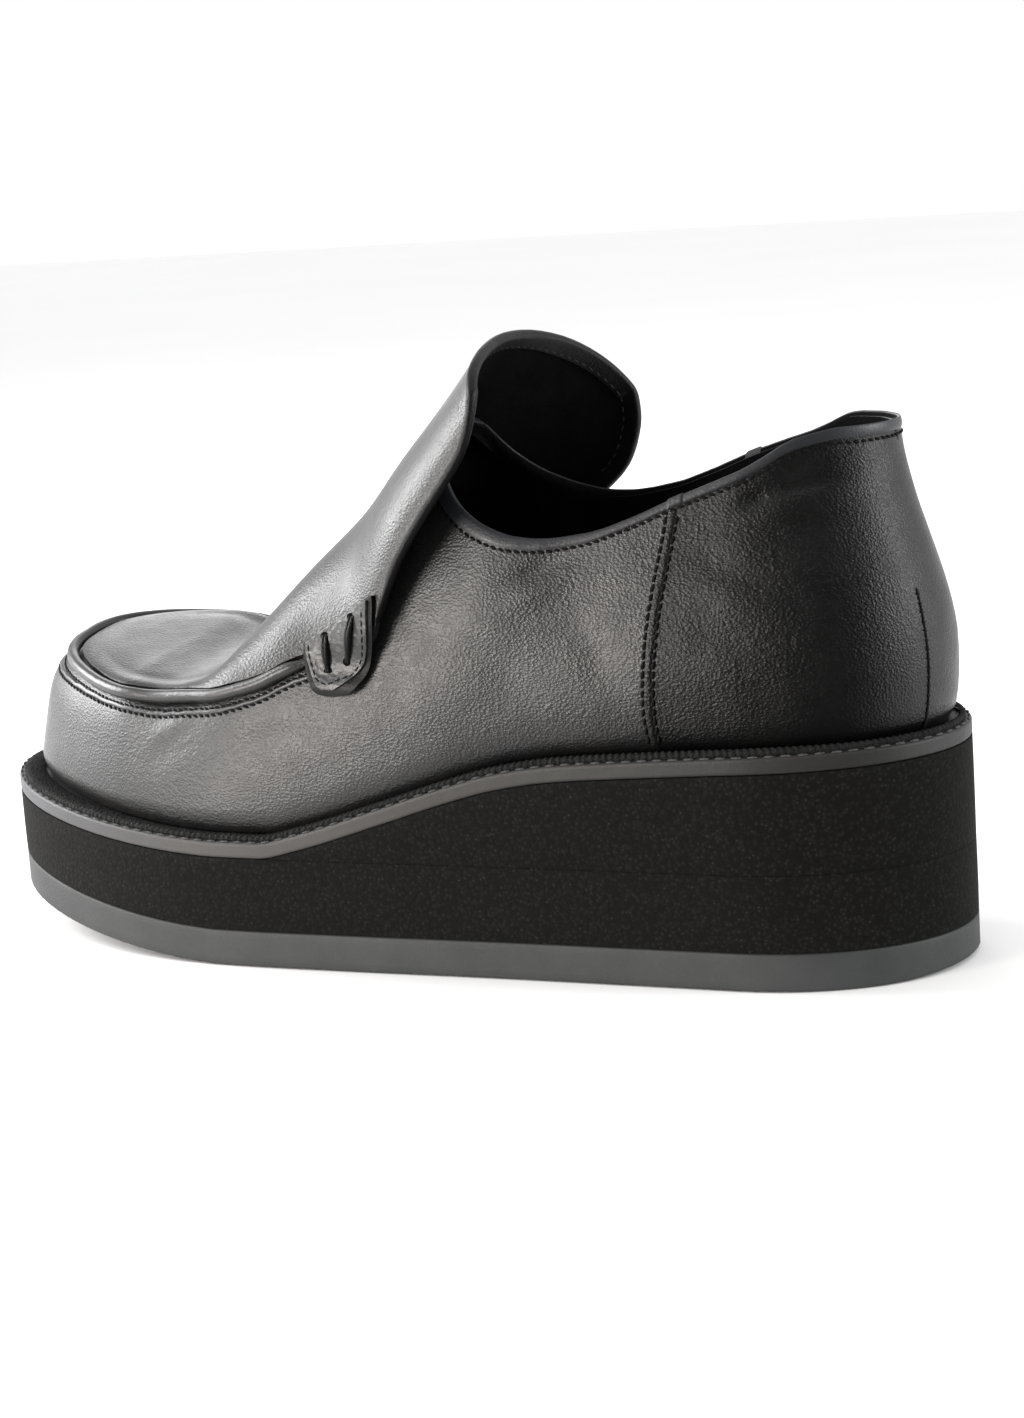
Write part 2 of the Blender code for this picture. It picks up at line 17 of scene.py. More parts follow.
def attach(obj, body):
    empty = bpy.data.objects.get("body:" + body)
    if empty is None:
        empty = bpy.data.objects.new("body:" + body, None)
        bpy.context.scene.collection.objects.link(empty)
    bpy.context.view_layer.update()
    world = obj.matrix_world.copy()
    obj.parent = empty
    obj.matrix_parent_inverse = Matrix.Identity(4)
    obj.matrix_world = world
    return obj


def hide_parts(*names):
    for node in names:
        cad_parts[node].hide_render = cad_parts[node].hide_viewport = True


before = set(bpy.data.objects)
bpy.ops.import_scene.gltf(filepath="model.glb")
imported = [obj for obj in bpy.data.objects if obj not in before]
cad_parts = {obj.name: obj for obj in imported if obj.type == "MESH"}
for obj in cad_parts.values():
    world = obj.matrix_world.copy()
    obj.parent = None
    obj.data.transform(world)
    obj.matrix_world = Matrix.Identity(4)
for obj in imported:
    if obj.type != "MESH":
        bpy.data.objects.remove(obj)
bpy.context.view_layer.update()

MM = 0.001

# Driving sizes of the sole
SOLE_LENGTH = 272 * MM
BALL_WIDTH = 97.6 * MM
OUTSOLE_THICKNESS = 9.4 * MM
SLAB_THICKNESS = 19.0 * MM
RIM_THICKNESS = 4.1 * MM
HEEL_RISE = 25.2 * MM
TOE_SPRING = 11.0 * MM
TOE_THINNING = 2.2 * MM
HEEL_LIFT = 0.9 * MM
TOE_SWING = 6.1 * MM
GAP = 0.3 * MM

# Driving sizes of the upper
WALL = 2.0 * MM
UPPER_INSET = 4.2 * MM
TOE_INSET = 2.6 * MM
TOE_TILT = 6.5 * MM
HEEL_FULLNESS = 1.8 * MM
FEATHER_TUCK = 3.0 * MM
TOE_HEIGHT = 74.5 * MM
INSTEP_HEIGHT = 134.0 * MM
COLLAR_LOW = 108.0 * MM
COLLAR_TILT = 4.6 * MM
HEEL_HEIGHT = 131.5 * MM
HEEL_LEAN = 11.6 * MM
QUARTER_LEAN = 9.5 * MM
SIDE_LEAN = 6.0 * MM
BINDING_HEIGHT = 4.2 * MM
BINDING_WALL = 2.7 * MM
WELT_MARGIN = 1.4 * MM
WELT_WIDTH = 3.1 * MM
WELT_HEIGHT = 1.5 * MM
INSOLE_THICKNESS = 3.0 * MM

# Driving sizes of the apron, its roll and its tabs
APRON_WALL = 1.6 * MM
ROLL_RADIUS = 1.7 * MM
ROLL_CLEAR = ROLL_RADIUS + 2 * GAP
FLAP_CLEAR = 3 * GAP
APRON_CLEAR = 0.7 * MM
FLAP_HEIGHT = 155.0 * MM
FLAP_WIDTH = 82.0 * MM
TAB_WALL = 1.8 * MM

# Toe spring and heel lift, as shares along the sole
SPRING_SHARE = 0.32
SPRING_CURVE = 1.42
HEEL_LIFT_SHARE = 0.05
HEEL_LIFT_CURVE = 1.5

# Outline ends: share of the length that each rounded end takes, and how square it is
TOE_SHARE = 0.31
TOE_SQUARE = 2.28
HEEL_SHARE = 0.17
HEEL_SQUARE = 2.05

# Half widths of the sole, as shares of BALL_WIDTH
# along the sole, lateral, medial
SOLE_WIDTHS = [
    (0.00, 0.467, 0.451), (0.30, 0.509, 0.491), (0.45, 0.482, 0.440),
    (0.60, 0.448, 0.380), (0.80, 0.415, 0.372), (1.00, 0.382, 0.376),
]

# Rise of the wedge's top line, as a share of HEEL_RISE
# along the sole, rise
WEDGE_LINE = [
    (0.00, 0.00), (0.37, 0.00), (0.41, 0.09), (0.50, 0.39), (0.56, 0.60),
    (0.61, 0.75), (0.66, 0.84), (0.72, 0.89), (0.87, 0.97), (1.00, 1.00),
]

# The last: ridge height between toe and instep, squareness of the section,
# lean of its wall as a share of SIDE_LEAN, and bulge height above the platform
# as a share of BALL_WIDTH
# along the sole, ridge, square, lean, bulge
LAST = [
    (0.000, 0.000, 6.5, 1.00, 0.06), (0.180, 0.000, 6.5, 1.00, 0.07),
    (0.240, -0.040, 5.2, 1.00, 0.08), (0.283, -0.010, 4.8, 1.00, 0.08),
    (0.335, 0.185, 3.4, 0.90, 0.08), (0.390, 0.405, 2.7, 0.70, 0.09),
    (0.430, 0.555, 2.25, 0.50, 0.09), (0.460, 0.675, 2.1, 0.35, 0.10),
    (0.486, 0.800, 2.05, 0.25, 0.10), (0.515, 0.945, 2.0, 0.15, 0.10),
    (0.540, 1.000, 2.0, 0.00, 0.11), (0.610, 1.050, 2.3, 0.00, 0.13),
    (0.720, 1.080, 2.5, 0.00, 0.16), (0.870, 1.200, 2.5, 0.00, 0.18),
    (1.000, 1.220, 2.5, 0.00, 0.18),
]

# Topline: height above the low point, as a share of the rise to the instep in
# front of it and of the rise to the heel behind it
# along the opening, rise
TOPLINE = [
    (0.000, 1.000), (0.008, 0.750), (0.050, 0.460), (0.100, 0.270), (0.170, 0.110),
    (0.240, 0.020), (0.300, 0.000), (0.400, 0.050), (0.500, 0.190), (0.600, 0.380),
    (0.700, 0.555), (0.800, 0.732), (0.900, 0.920), (1.000, 1.000),
]
TOPLINE_LOW = 0.300

# Where along the last its ribs fan out, and where the closed forefoot turns into
# the open quarters
SPINE_TOE = 0.185
SPINE_HEEL = 0.850
QUARTER_BLEND = (0.58, 0.70)
TOE_INSET_END = 0.34
TILT_BLEND = (0.14, 0.36)
HEEL_BLEND = (0.85, 0.99)
THROAT_ALONG = 0.540
OPENING_END = 0.955

# Height of the apron's roll, as a share of TOE_HEIGHT
# along the sole, height
ROLL_LINE = [
    (0.00, 0.990), (0.13, 0.950), (0.19, 0.930), (0.25, 0.905),
    (0.30, 0.905), (0.36, 0.945), (0.40, 1.005), (0.45, 1.060),
]

# The flap: its ridge, its half width, and its lateral and medial side edges.
# Lengths along the sole are shares of SOLE_LENGTH, heights of FLAP_HEIGHT and the
# half width of FLAP_WIDTH.
# ridge along, ridge height, half width, lateral along, height, medial along, height
FLAP = [
    (0.345, 0.600, 0.490, 0.392, 0.480, 0.392, 0.505),
    (0.385, 0.655, 0.492, 0.440, 0.500, 0.440, 0.520),
    (0.430, 0.716, 0.492, 0.494, 0.518, 0.490, 0.530),
    (0.460, 0.768, 0.485, 0.510, 0.590, 0.525, 0.590),
    (0.486, 0.818, 0.480, 0.530, 0.665, 0.562, 0.645),
    (0.515, 0.870, 0.470, 0.557, 0.735, 0.600, 0.700),
    (0.545, 0.925, 0.462, 0.586, 0.800, 0.628, 0.745),
    (0.566, 0.965, 0.456, 0.603, 0.845, 0.642, 0.785),
    (0.580, 0.990, 0.450, 0.612, 0.885, 0.651, 0.818),
    (0.588, 1.000, 0.444, 0.616, 0.912, 0.654, 0.850),
]
LATERAL = 3
MEDIAL = 5
FLAP_BOW = 0.62
FLAP_SHIFT = 2.0 * MM
FLAP_SQUARE = 2.05
FLAP_BLEND = (0.360, 0.470)
EDGE_SLANT = 0.300
ROLL_END = 0.428

# Where the throat ends along the sole, and where the last's wall ends up a rib
THROAT_END = 0.630
WALL_END = 1.25


def follow(rows, column, x):
    """Smooth value of one column of a table, with no overshoot between its rows."""
    xs = [row[0] for row in rows]
    ys = [row[column] for row in rows]
    x = clamp(x, xs[0], xs[-1])
    i = max(n for n in range(len(xs) - 1) if xs[n] <= x)
    slopes = [(ys[n + 1] - ys[n]) / (xs[n + 1] - xs[n]) for n in range(len(xs) - 1)]

    def tangent(n):
        if n == 0 or n == len(xs) - 1:
            return slopes[min(n, len(slopes) - 1)]
        if slopes[n - 1] * slopes[n] <= 0:
            return 0.0
        return 2 * slopes[n - 1] * slopes[n] / (slopes[n - 1] + slopes[n])

    h = xs[i + 1] - xs[i]
    t = (x - xs[i]) / h
    rise = ys[i + 1] - ys[i]
    a = tangent(i) * h
    b = tangent(i + 1) * h
    return ys[i] + a * t + (3 * rise - 2 * a - b) * t ** 2 + (a + b - 2 * rise) * t ** 3


def ramp(x, start, end):
    """0 before start, 1 after end, smooth between."""
    t = clamp((x - start) / (end - start))
    return t * t * (3 - 2 * t)


def clamp(x, low=0.0, high=1.0):
    return min(max(x, low), high)


def quarter(n, steps):
    """Angle of step n of a quarter turn."""
    return math.pi / 2 * n / steps


def y_at(along):
    return (along - 0.5) * SOLE_LENGTH


def along_at(y):
    return y / SOLE_LENGTH + 0.5


# The sole's outline and heights


def end_rounding(along):
    toe = clamp(1 - along / TOE_SHARE)
    heel = clamp((along - 1 + HEEL_SHARE) / HEEL_SHARE)
    front = max(1 - toe ** TOE_SQUARE, 0.0) ** (1 / TOE_SQUARE)
    back = max(1 - heel ** HEEL_SQUARE, 0.0) ** (1 / HEEL_SQUARE)
    return front * back


def centre_x(along):
    """Middle line of the sole: it swings to the medial side towards the toe."""
    swing = -TOE_SWING * max(1 - 2 * along, 0.0) ** 2
    lateral = follow(SOLE_WIDTHS, 1, along)
    medial = follow(SOLE_WIDTHS, 2, along)
    return swing + (lateral - medial) * BALL_WIDTH / 2


def half_width(along, inset):
    lateral = follow(SOLE_WIDTHS, 1, along)
    medial = follow(SOLE_WIDTHS, 2, along)
    return (lateral + medial) * BALL_WIDTH / 2 - inset


def outline(along, side, inset):
    """Point of the sole's outline, moved in by inset; along runs over the inset shape."""
    x = centre_x(along) + side * half_width(along, inset) * end_rounding(along)
    y = y_at(along) * (1 - 2 * inset / SOLE_LENGTH)
    return x, y


def spring(along):
    """0 on the flat of the sole, rising to 1 at the toe."""
    return max((SPRING_SHARE - along) / SPRING_SHARE, 0.0) ** SPRING_CURVE


def floor_height(y):
    along = along_at(y)
    back = max((along - 1 + HEEL_LIFT_SHARE) / HEEL_LIFT_SHARE, 0.0)
    return TOE_SPRING * spring(along) + HEEL_LIFT * back ** HEEL_LIFT_CURVE


def outsole_top(y):
    return TOE_SPRING * spring(along_at(y)) + OUTSOLE_THICKNESS


def slab_top(y):
    along = along_at(y)
    return outsole_top(y) + SLAB_THICKNESS - TOE_THINNING * spring(along)


def wedge_top(y):
    return slab_top(y) + HEEL_RISE * follow(WEDGE_LINE, 1, along_at(y))


def platform(y):
    """Top of the rim, that the upper stands on."""
    return wedge_top(y) + RIM_THICKNESS


def sole_stations(toe_steps, middle_steps, heel_steps):
    """Shares along the sole, closer together round its two ends."""
    stations = []
    for n in range(toe_steps):
        angle = quarter(n, toe_steps)
        stations.append(TOE_SHARE * (1 - math.cos(angle) ** (2 / TOE_SQUARE)))
    middle = 1 - TOE_SHARE - HEEL_SHARE
    for n in range(middle_steps):
        stations.append(TOE_SHARE + middle * n / middle_steps)
    for n in range(heel_steps + 1):
        angle = quarter(n, heel_steps)
        stations.append(1 - HEEL_SHARE * (1 - math.sin(angle) ** (2 / HEEL_SQUARE)))
    return stations


# The last


def spine_along(along):
    """The ribs of the toe and of the heel fan out from the two ends of the spine."""
    return clamp(along, SPINE_TOE, SPINE_HEEL)


def upper_inset(along):
    """How far the upper stands in from the sole's edge: more at the toe, less at the heel."""
    toe = TOE_INSET * (1 - ramp(along, 0.0, TOE_INSET_END))
    return UPPER_INSET + toe - HEEL_FULLNESS * ramp(along, *HEEL_BLEND)


def ridge_height(along):
    return TOE_HEIGHT + (INSTEP_HEIGHT - TOE_HEIGHT) * follow(LAST, 1, along)


def toe_tilt(along):
    """Slope of the forefoot: its medial side is the higher one."""
    return TOE_TILT * 2 / BALL_WIDTH * (1 - ramp(along, *TILT_BLEND))


def bulge_height(y):
    return platform(y) + BALL_WIDTH * follow(LAST, 4, along_at(y))


def last_point(side, along, part, grow=0.0):
    """Point of the last's surface, grown outwards by grow.

    part runs from 0 at the feather line through 1 at the bulge to 2 at the spine.
    """
    base_x, base_y = outline(along, side, upper_inset(along))
    hub = spine_along(along)
    hub_x = centre_x(hub)
    hub_y = y_at(hub) * (1 - 2 * upper_inset(hub) / SOLE_LENGTH)
    reach = math.hypot(base_x - hub_x, base_y - hub_y)
    low = platform(base_y) + GAP
    bulge = bulge_height(base_y)
    up = 0.0
    if part < 1:
        out = reach + grow - FEATHER_TUCK * (1 - math.sqrt(1 - (1 - part) ** 2))
        z = low + (bulge - low) * part
    else:
        ridge = ridge_height(hub) + grow
        square = follow(LAST, 2, hub)
        angle = math.pi / 2 * (part - 1)
        up = math.sin(angle) ** (2 / square)
        z = bulge + (ridge - bulge) * up
        lean = SIDE_LEAN * follow(LAST, 3, hub) * up / reach
        closed = max(math.cos(angle), 0.0) ** (2 / square) * (1 - lean)
        quarter = 1 - quarter_lean(along) * ramp(z, bulge, HEEL_HEIGHT) / reach
        share = closed + (quarter - closed) * ramp(along, *QUARTER_BLEND)
        out = (reach + grow) * share
    scale = out / reach
    x = hub_x + (base_x - hub_x) * scale
    y = hub_y + (base_y - hub_y) * scale
    return x, y, z + toe_tilt(along) * (hub_x - x) * up


def quarter_lean(along):
    """How far the quarter leans in at the heel's height: most at the back."""
    return QUARTER_LEAN + (HEEL_LEAN - QUARTER_LEAN) * ramp(along, *HEEL_BLEND)


def part_at_height(along, z):
    """The part of a rib, from the bulge up, at which it reaches height z."""
    hub = spine_along(along)
    bulge = bulge_height(outline(along, 1, upper_inset(along))[1])
    up = (z - bulge) / (ridge_height(hub) - bulge)
    up = clamp(up)
    return 1 + math.asin(up ** (follow(LAST, 2, hub) / 2)) / (math.pi / 2)


def topline_part(side, along, margin):
    """Where a rib ends at the opening, with the whole edge lowered by margin.

    The medial side of the topline is the higher one.
    """
    start = THROAT_ALONG - margin / SOLE_LENGTH
    if along <= start:
        return 2.0
    share = (along - start) / (OPENING_END - start)
    top = INSTEP_HEIGHT if share < TOPLINE_LOW else HEEL_HEIGHT
    z = COLLAR_LOW + (top - COLLAR_LOW) * follow(TOPLINE, 1, share) - margin
    if side < 0:
        z += COLLAR_TILT * math.sin(math.pi * min(share, 1.0))
    return part_at_height(along, z)


def roll_height(along):
    return TOE_HEIGHT * follow(ROLL_LINE, 1, along)


def roll_part(along):
    return part_at_height(along, roll_height(along))


def roll_point(side, along, grow):
    return last_point(side, along, roll_part(along), grow)


def apron_edge_part(along):
    """Where the apron starts on a rib: just inside the roll."""
    part = roll_part(along)
    centre = last_point(1, along, part, GAP + ROLL_RADIUS)
    outer = APRON_CLEAR + APRON_WALL
    while part < 2 and math.dist(centre, last_point(1, along, part, outer)) < ROLL_CLEAR:
        part += 0.005
    return part


def edge_along(along, side):
    """Where the side edge is on the row whose ridge is at along."""
    column = LATERAL if side > 0 else MEDIAL
    if along > FLAP[0][0]:
        return follow(FLAP, column, along)
    share = max((along - EDGE_SLANT) / (FLAP[0][0] - EDGE_SLANT), 0.0)
    return along + (FLAP[0][column] - FLAP[0][0]) * share


def flap_point(side, along, share):
    """Inner face of the flap: an arch from its ridge down to its side edge."""
    ridge_y = y_at(along)
    ridge_z = FLAP_HEIGHT * follow(FLAP, 1, along) - APRON_WALL
    edge_x = FLAP_WIDTH * follow(FLAP, 2, along)
    edge_y = y_at(edge_along(along, side))
    edge_z = FLAP_HEIGHT * follow(FLAP, (LATERAL if side > 0 else MEDIAL) + 1, along)
    angle = math.pi / 2 * share
    out = math.sin(angle) ** (2 / FLAP_SQUARE)
    drop = 1 - max(math.cos(angle), 0.0) ** (2 / FLAP_SQUARE)
    y = ridge_y + (edge_y - ridge_y) * drop ** FLAP_BOW
    z = ridge_z + (edge_z - ridge_z) * drop
    shift = FLAP_SHIFT * ramp(along, *FLAP_BLEND)
    return centre_x(along_at(y)) - shift + side * edge_x * out, y, z


def keep_clear(side, point):
    """Move a point of the flap out where it comes closer to the upper than FLAP_CLEAR."""
    x, y, z = point
    along = along_at(y / (1 - 2 * UPPER_INSET / SOLE_LENGTH))
    if z >= ridge_height(along) + GAP:
        return point
    wall_x = last_point(side, along, part_at_height(along, z), FLAP_CLEAR)[0]
    if (x - wall_x) * side < 0:
        x = wall_x
    return x, y, z


def tab_x(side, y, z):
    """The tab lies on the flap, and below the flap's edge it turns in to the quarter."""
    along = along_at(y / (1 - 2 * UPPER_INSET / SOLE_LENGTH))
    wall_x = last_point(side, along, part_at_height(along, z), GAP)[0]
    flap_x = centre_x(along_at(y)) + side * (FLAP_WIDTH / 2 + APRON_WALL + GAP)
    edge_z = FLAP_HEIGHT * FLAP[2][4]
    on_flap = ramp(z, edge_z - TAB_WALL * 4, edge_z - TAB_WALL)
    return wall_x + (flap_x - wall_x) * on_flap


# Sizes that only the looks need
SEAM_WIDTH = 2.1 * MM
BINDING_STITCH = 3.6 * MM
BAND_FOOT = 3.1 * MM
UPPER_TOP = 1.6 * MM
WEDGE_TIP = 0.380
EDGE_INNER = 4.6 * MM
EDGE_OUTER = 1.5 * MM
EDGE_START = 0.452
CORNER_START = 0.548
CORNER_TRIM = 0.13
HOLLOW_DEPTH = 2.4 * MM
WAVE_HEIGHT = 0.30 * MM
WAVE_LENGTH = 26.0 * MM
WELT_RIDGE = 1.7 * MM
SPREAD = 1 - 2 * UPPER_INSET / SOLE_LENGTH

# The waves' finer ripples, and where waves and folds die out above the platform and
# under the roll
RIPPLE_SHARE = 0.4
RIPPLES_TO_A_WAVE = 3
CALM_OVER_SOLE = (1 * MM, 8 * MM)
CALM_UNDER_ROLL = (6 * MM, 2 * MM)

# Where the hollow of the toe starts and ends along the sole, and how soon it is at its
# deepest from the roll in
HOLLOW_FRONT = (0.10, 0.22)
HOLLOW_BACK = (0.33, 0.43)
HOLLOW_SIDE = 0.55

# The seam strip and its stitches: height where the stitches stop, spread of their rows
SEAM_STITCH_TOP = 113 * MM
SEAM_STITCH_SPREAD = 0.62

# Soft folds of the upper, in millimetres: side, from y, z to y, z, half width,
# height (negative for a trough)
FOLDS = [
    (1, 93, 115, 99, 117.5, 2.2, -0.9), (1, 99, 117.5, 115, 121, 2.4, -0.8),
    (1, 96, 112, 116, 116, 3.2, 0.7), (1, 101, 121.0, 122, 128.5, 1.5, -0.5),
    (1, 33, 91, 49, 99, 2.6, 0.55), (1, 36, 97, 50, 104, 3.0, -0.5),
    (1, 80, 104, 96, 98, 3.0, -0.5), (1, 82, 96, 101, 91, 2.6, 0.45),
    (1, 80, 86, 98, 83, 2.8, -0.45), (1, 79, 79, 95, 75, 2.4, 0.4),
    (1, 52, 84, 66, 72, 4.5, -0.5), (1, 20, 84, 40, 72, 5.0, -0.5),
    (1, -68, 54, -56, 60, 1.4, -0.5), (1, -71, 51, -55, 56.5, 1.4, -0.45),
    (1, -70, 57, -58, 62.5, 1.8, 0.35), (1, -42, 60, -24, 66, 3.2, -0.45),
    (-1, 93, 117, 113, 122, 2.4, -0.7), (-1, 95, 112, 115, 117, 3.2, 0.6),
    (-1, 82, 100, 99, 94, 2.8, -0.5), (-1, 81, 90, 97, 86, 2.8, 0.4),
    (-1, -66, 56, -52, 62, 1.6, -0.5), (-1, -40, 62, -22, 67, 3.0, -0.4),
]

# Middle of the side seam, from the topline down, and of the heel seam: y, z in mm
SIDE_SEAM = [(76.5, 118), (74.6, 106), (72.2, 92), (70.6, 78), (70.0, 66), (70.6, 58.5)]
HEEL_SEAM_ALONG = 0.991
HEEL_SEAM = (59.5, 93.0)


# The patch of a tab and the turned corner of the flap under it: z, front y, back y in mm
PATCH = [
    (72.2, -13.2, -9.8), (72.9, -14.6, -7.6), (74.2, -15.4, -4.8), (76.4, -16.0, -2.0),
    (78.2, -16.5, -0.6), (80.0, -16.8, 0.3), (83.0, -16.5, 0.8), (84.2, -15.2, 1.0),
    (86.5, -11.4, 1.3), (90.0, -5.6, 1.8), (93.0, -0.7, 2.2), (94.8, 2.1, 2.5),
]
TURNED_CORNER = [
    (70.4, -13.6, -10.2), (71.1, -15.6, -7.2), (72.6, -16.8, -3.6), (75.4, -17.5, -0.4),
    (77.6, -17.8, 1.0), (80.0, -17.9, 1.7), (83.6, -17.4, 2.1), (85.0, -15.0, 2.3),
    (87.0, -11.6, 2.5), (90.0, -6.6, 2.9), (93.0, -1.5, 3.3), (96.0, 3.0, 3.6),
]
PATCH_FOOT = 1.3 * MM
PATCH_TOP = 2.1 * MM
THONGS = [((-10.2, 85.4), (-10.6, 76.4)), ((-1.9, 90.4), (-4.6, 79.7))]


# Laying pieces out


def wall_part(along, z):
    """The part of a rib at height z, from the feather line up."""
    base_y = outline(along, 1, upper_inset(along))[1]
    low = platform(base_y) + GAP
    bulge = bulge_height(base_y)
    if z < bulge:
        return max((z - low) / (bulge - low), 0.0)
    return part_at_height(along, z)


def fold_height(side, y, z):
    """Height of the soft folds at one place on the side of the upper."""
    total = 0.0
    for fold_side, y0, z0, y1, z1, width, height in FOLDS:
        if fold_side != side:
            continue
        run = Vector(((y1 - y0) * MM, (z1 - z0) * MM))
        off = Vector((y - y0 * MM, z - z0 * MM))
        share = clamp(off.dot(run) / run.length_squared)
        away = (off - run * share).length / (width * MM)
        if away < 3:
            ends = 0.35 + 0.65 * math.sin(math.pi * share)
            total += height * MM * math.exp(-away * away) * ends
    return total


def relief(side, along, point):
    """How far the leather stands off the last: its folds and slow waves."""
    _, y, z = point
    here = Vector(point)
    ripple = noise.noise(here * RIPPLES_TO_A_WAVE / WAVE_LENGTH)
    wave = noise.noise(here / WAVE_LENGTH) + RIPPLE_SHARE * ripple
    height = fold_height(side, y, z) + WAVE_HEIGHT * wave
    low = platform(y)
    height *= ramp(z, low + CALM_OVER_SOLE[0], low + CALM_OVER_SOLE[1])
    if along < ROLL_END:
        roll = roll_height(along)
        height *= 1 - ramp(z, roll - CALM_UNDER_ROLL[0], roll - CALM_UNDER_ROLL[1])
    return height


def hollow(y, inside):
    """How far the forefoot dips between the roll and the ridge: inside is 1 at the ridge."""
    front = ramp(y, *map(y_at, HOLLOW_FRONT))
    back = 1 - ramp(y, *map(y_at, HOLLOW_BACK))
    return HOLLOW_DEPTH * front * back * ramp(inside, 0.0, HOLLOW_SIDE)


def upper_point(side, along, part, grow=0.0):
    """Point of the outside of the upper, with its folds."""
    bare = last_point(side, along, part)
    x, y, z = last_point(side, along, part, grow + relief(side, along, bare))
    if along < ROLL_END:
        edge = roll_part(along)
        if part > edge:
            z -= hollow(y, (part - edge) / (2 - edge))
    return x, y, z


def on_upper(side, y, z, grow=0.0):
    along = along_at(y / SPREAD)
    return upper_point(side, along, wall_part(along, z), grow)


def smooth_path(points, step):
    """A curve through a few points, as points about step apart."""
    points = [Vector(p) for p in points]
    fine = []
    for n in range(len(points) - 1):
        a = points[max(n - 1, 0)]
        b = points[n]
        c = points[n + 1]
        d = points[min(n + 2, len(points) - 1)]
        count = max(int((c - b).length / step), 1)
        for m in range(count):
            t = m / count
            fine.append(0.5 * (2 * b + (c - a) * t + (2 * a - 5 * b + 4 * c - d) * t * t
                               + (3 * b - a - 3 * c + d) * t ** 3))
    return fine + [points[-1]]


def spaced(points, pitch):
    """Places pitch apart along a path, each with the path's direction there."""
    points = [Vector(p) for p in points]
    places = []
    left = pitch / 2
    for a, b in zip(points, points[1:]):
        run = (b - a).length
        if run < 1e-9:
            continue
        while left <= run:
            places.append((a.lerp(b, left / run), (b - a).normalized()))
            left += pitch
        left -= run
    return places


def loop_of_ribs(stations):
    """All ribs once round the last, from the heel by the lateral side to the toe and back."""
    return [(1, s) for s in reversed(stations)] + [(-1, s) for s in stations]


# Making pieces

SIDES = ((1, "lateral"), (-1, "medial"))


def link(thing):
    bpy.context.scene.collection.objects.link(thing)


def finish(name, bm, materials, nodes=(), sharp=50, outward=True):
    """Turn a bmesh into a piece of the shoe that rides with it."""
    bmesh.ops.remove_doubles(bm, verts=bm.verts[:], dist=0.01 * MM)
    bmesh.ops.dissolve_degenerate(bm, edges=bm.edges[:], dist=0.005 * MM)
    if outward:
        bmesh.ops.recalc_face_normals(bm, faces=bm.faces[:])
    mesh = bpy.data.meshes.new(name)
    bm.to_mesh(mesh)
    bm.free()
    for material in materials:
        mesh.materials.append(material)
    mesh.shade_smooth()
    mesh.set_sharp_from_angle(angle=math.radians(sharp))
    piece = bpy.data.objects.new(name, mesh)
    link(piece)
    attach(piece, "root")
    if nodes:
        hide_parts(*nodes)
    return piece


def grid(across, up, place, inside_from=None):
    """A grid of quads whose corners are moved to place(column, row).

    Rows from inside_from on take the second material, the one of the inside.
    """
    bm = bmesh.new()
    bmesh.ops.create_grid(bm, x_segments=across, y_segments=up, size=1.0)
    if inside_from is not None:
        for face in bm.faces:
            row = (face.calc_center_median().y + 1) / 2 * up
            face.material_index = 1 if row > inside_from else 0
    for vert in bm.verts:
        column = round((vert.co.x + 1) / 2 * across)
        row = round((vert.co.y + 1) / 2 * up)
        vert.co = place(column, row)
    return bm


def thicken(piece, wall, offset, inside=0, bevel=0.0):
    solidify = piece.modifiers.new("wall", "SOLIDIFY")
    solidify.thickness = wall
    solidify.offset = offset
    solidify.material_offset = inside
    solidify.material_offset_rim = 0
    solidify.use_even_offset = False
    if bevel:
        rounding = piece.modifiers.new("edge", "BEVEL")
        rounding.width = bevel
        rounding.segments = 3
        rounding.limit_method = "ANGLE"
        rounding.angle_limit = math.radians(60)
    return piece


def add_bead(bm, place, direction, up, half_length, half_width, half_height, sides=6, rings=4):
    """A stretched ball: one stitch, or one strand of a thong."""
    direction = Vector(direction).normalized()
    across = direction.cross(Vector(up)).normalized()
    rise = across.cross(direction)
    turn = Matrix((across, rise, direction)).transposed().to_4x4()
    size = Matrix.Diagonal((half_width, half_height, half_length, 1.0))
    bmesh.ops.create_uvsphere(bm, u_segments=sides, v_segments=rings, radius=1.0,
                              matrix=Matrix.Translation(place) @ turn @ size)


def stitches(name, paths, pitch, length, width, material, slant=0.0, height=0.6):
    """Rows of stitches along paths; each path is a list of points and their outward ways."""
    bm = bmesh.new()
    draw = random.Random(len(name))
    for points, outward in paths:
        for place, direction in spaced(points, pitch):
            up = Vector(outward(place))
            side = direction.cross(up).normalized()
            wander = draw.uniform(-0.12, 0.12)
            lean = (direction + side * (slant + wander)).normalized()
            size = length * draw.uniform(0.88, 1.08)
            add_bead(bm, place, lean, up, size / 2, width / 2, width / 2 * height)
    return finish(name, bm, [material], sharp=180)


def sideways(side):
    return lambda place: (side, 0.0, 0.25)


def away_from_spine(place):
    """Outward way at a place on the upper, out from the spine and a little up."""
    hub_y = clamp(place[1], y_at(SPINE_TOE), y_at(SPINE_HEEL))
    return Vector((place[0], place[1] - hub_y, 0.0)).normalized() + Vector((0, 0, 0.45))


# Materials


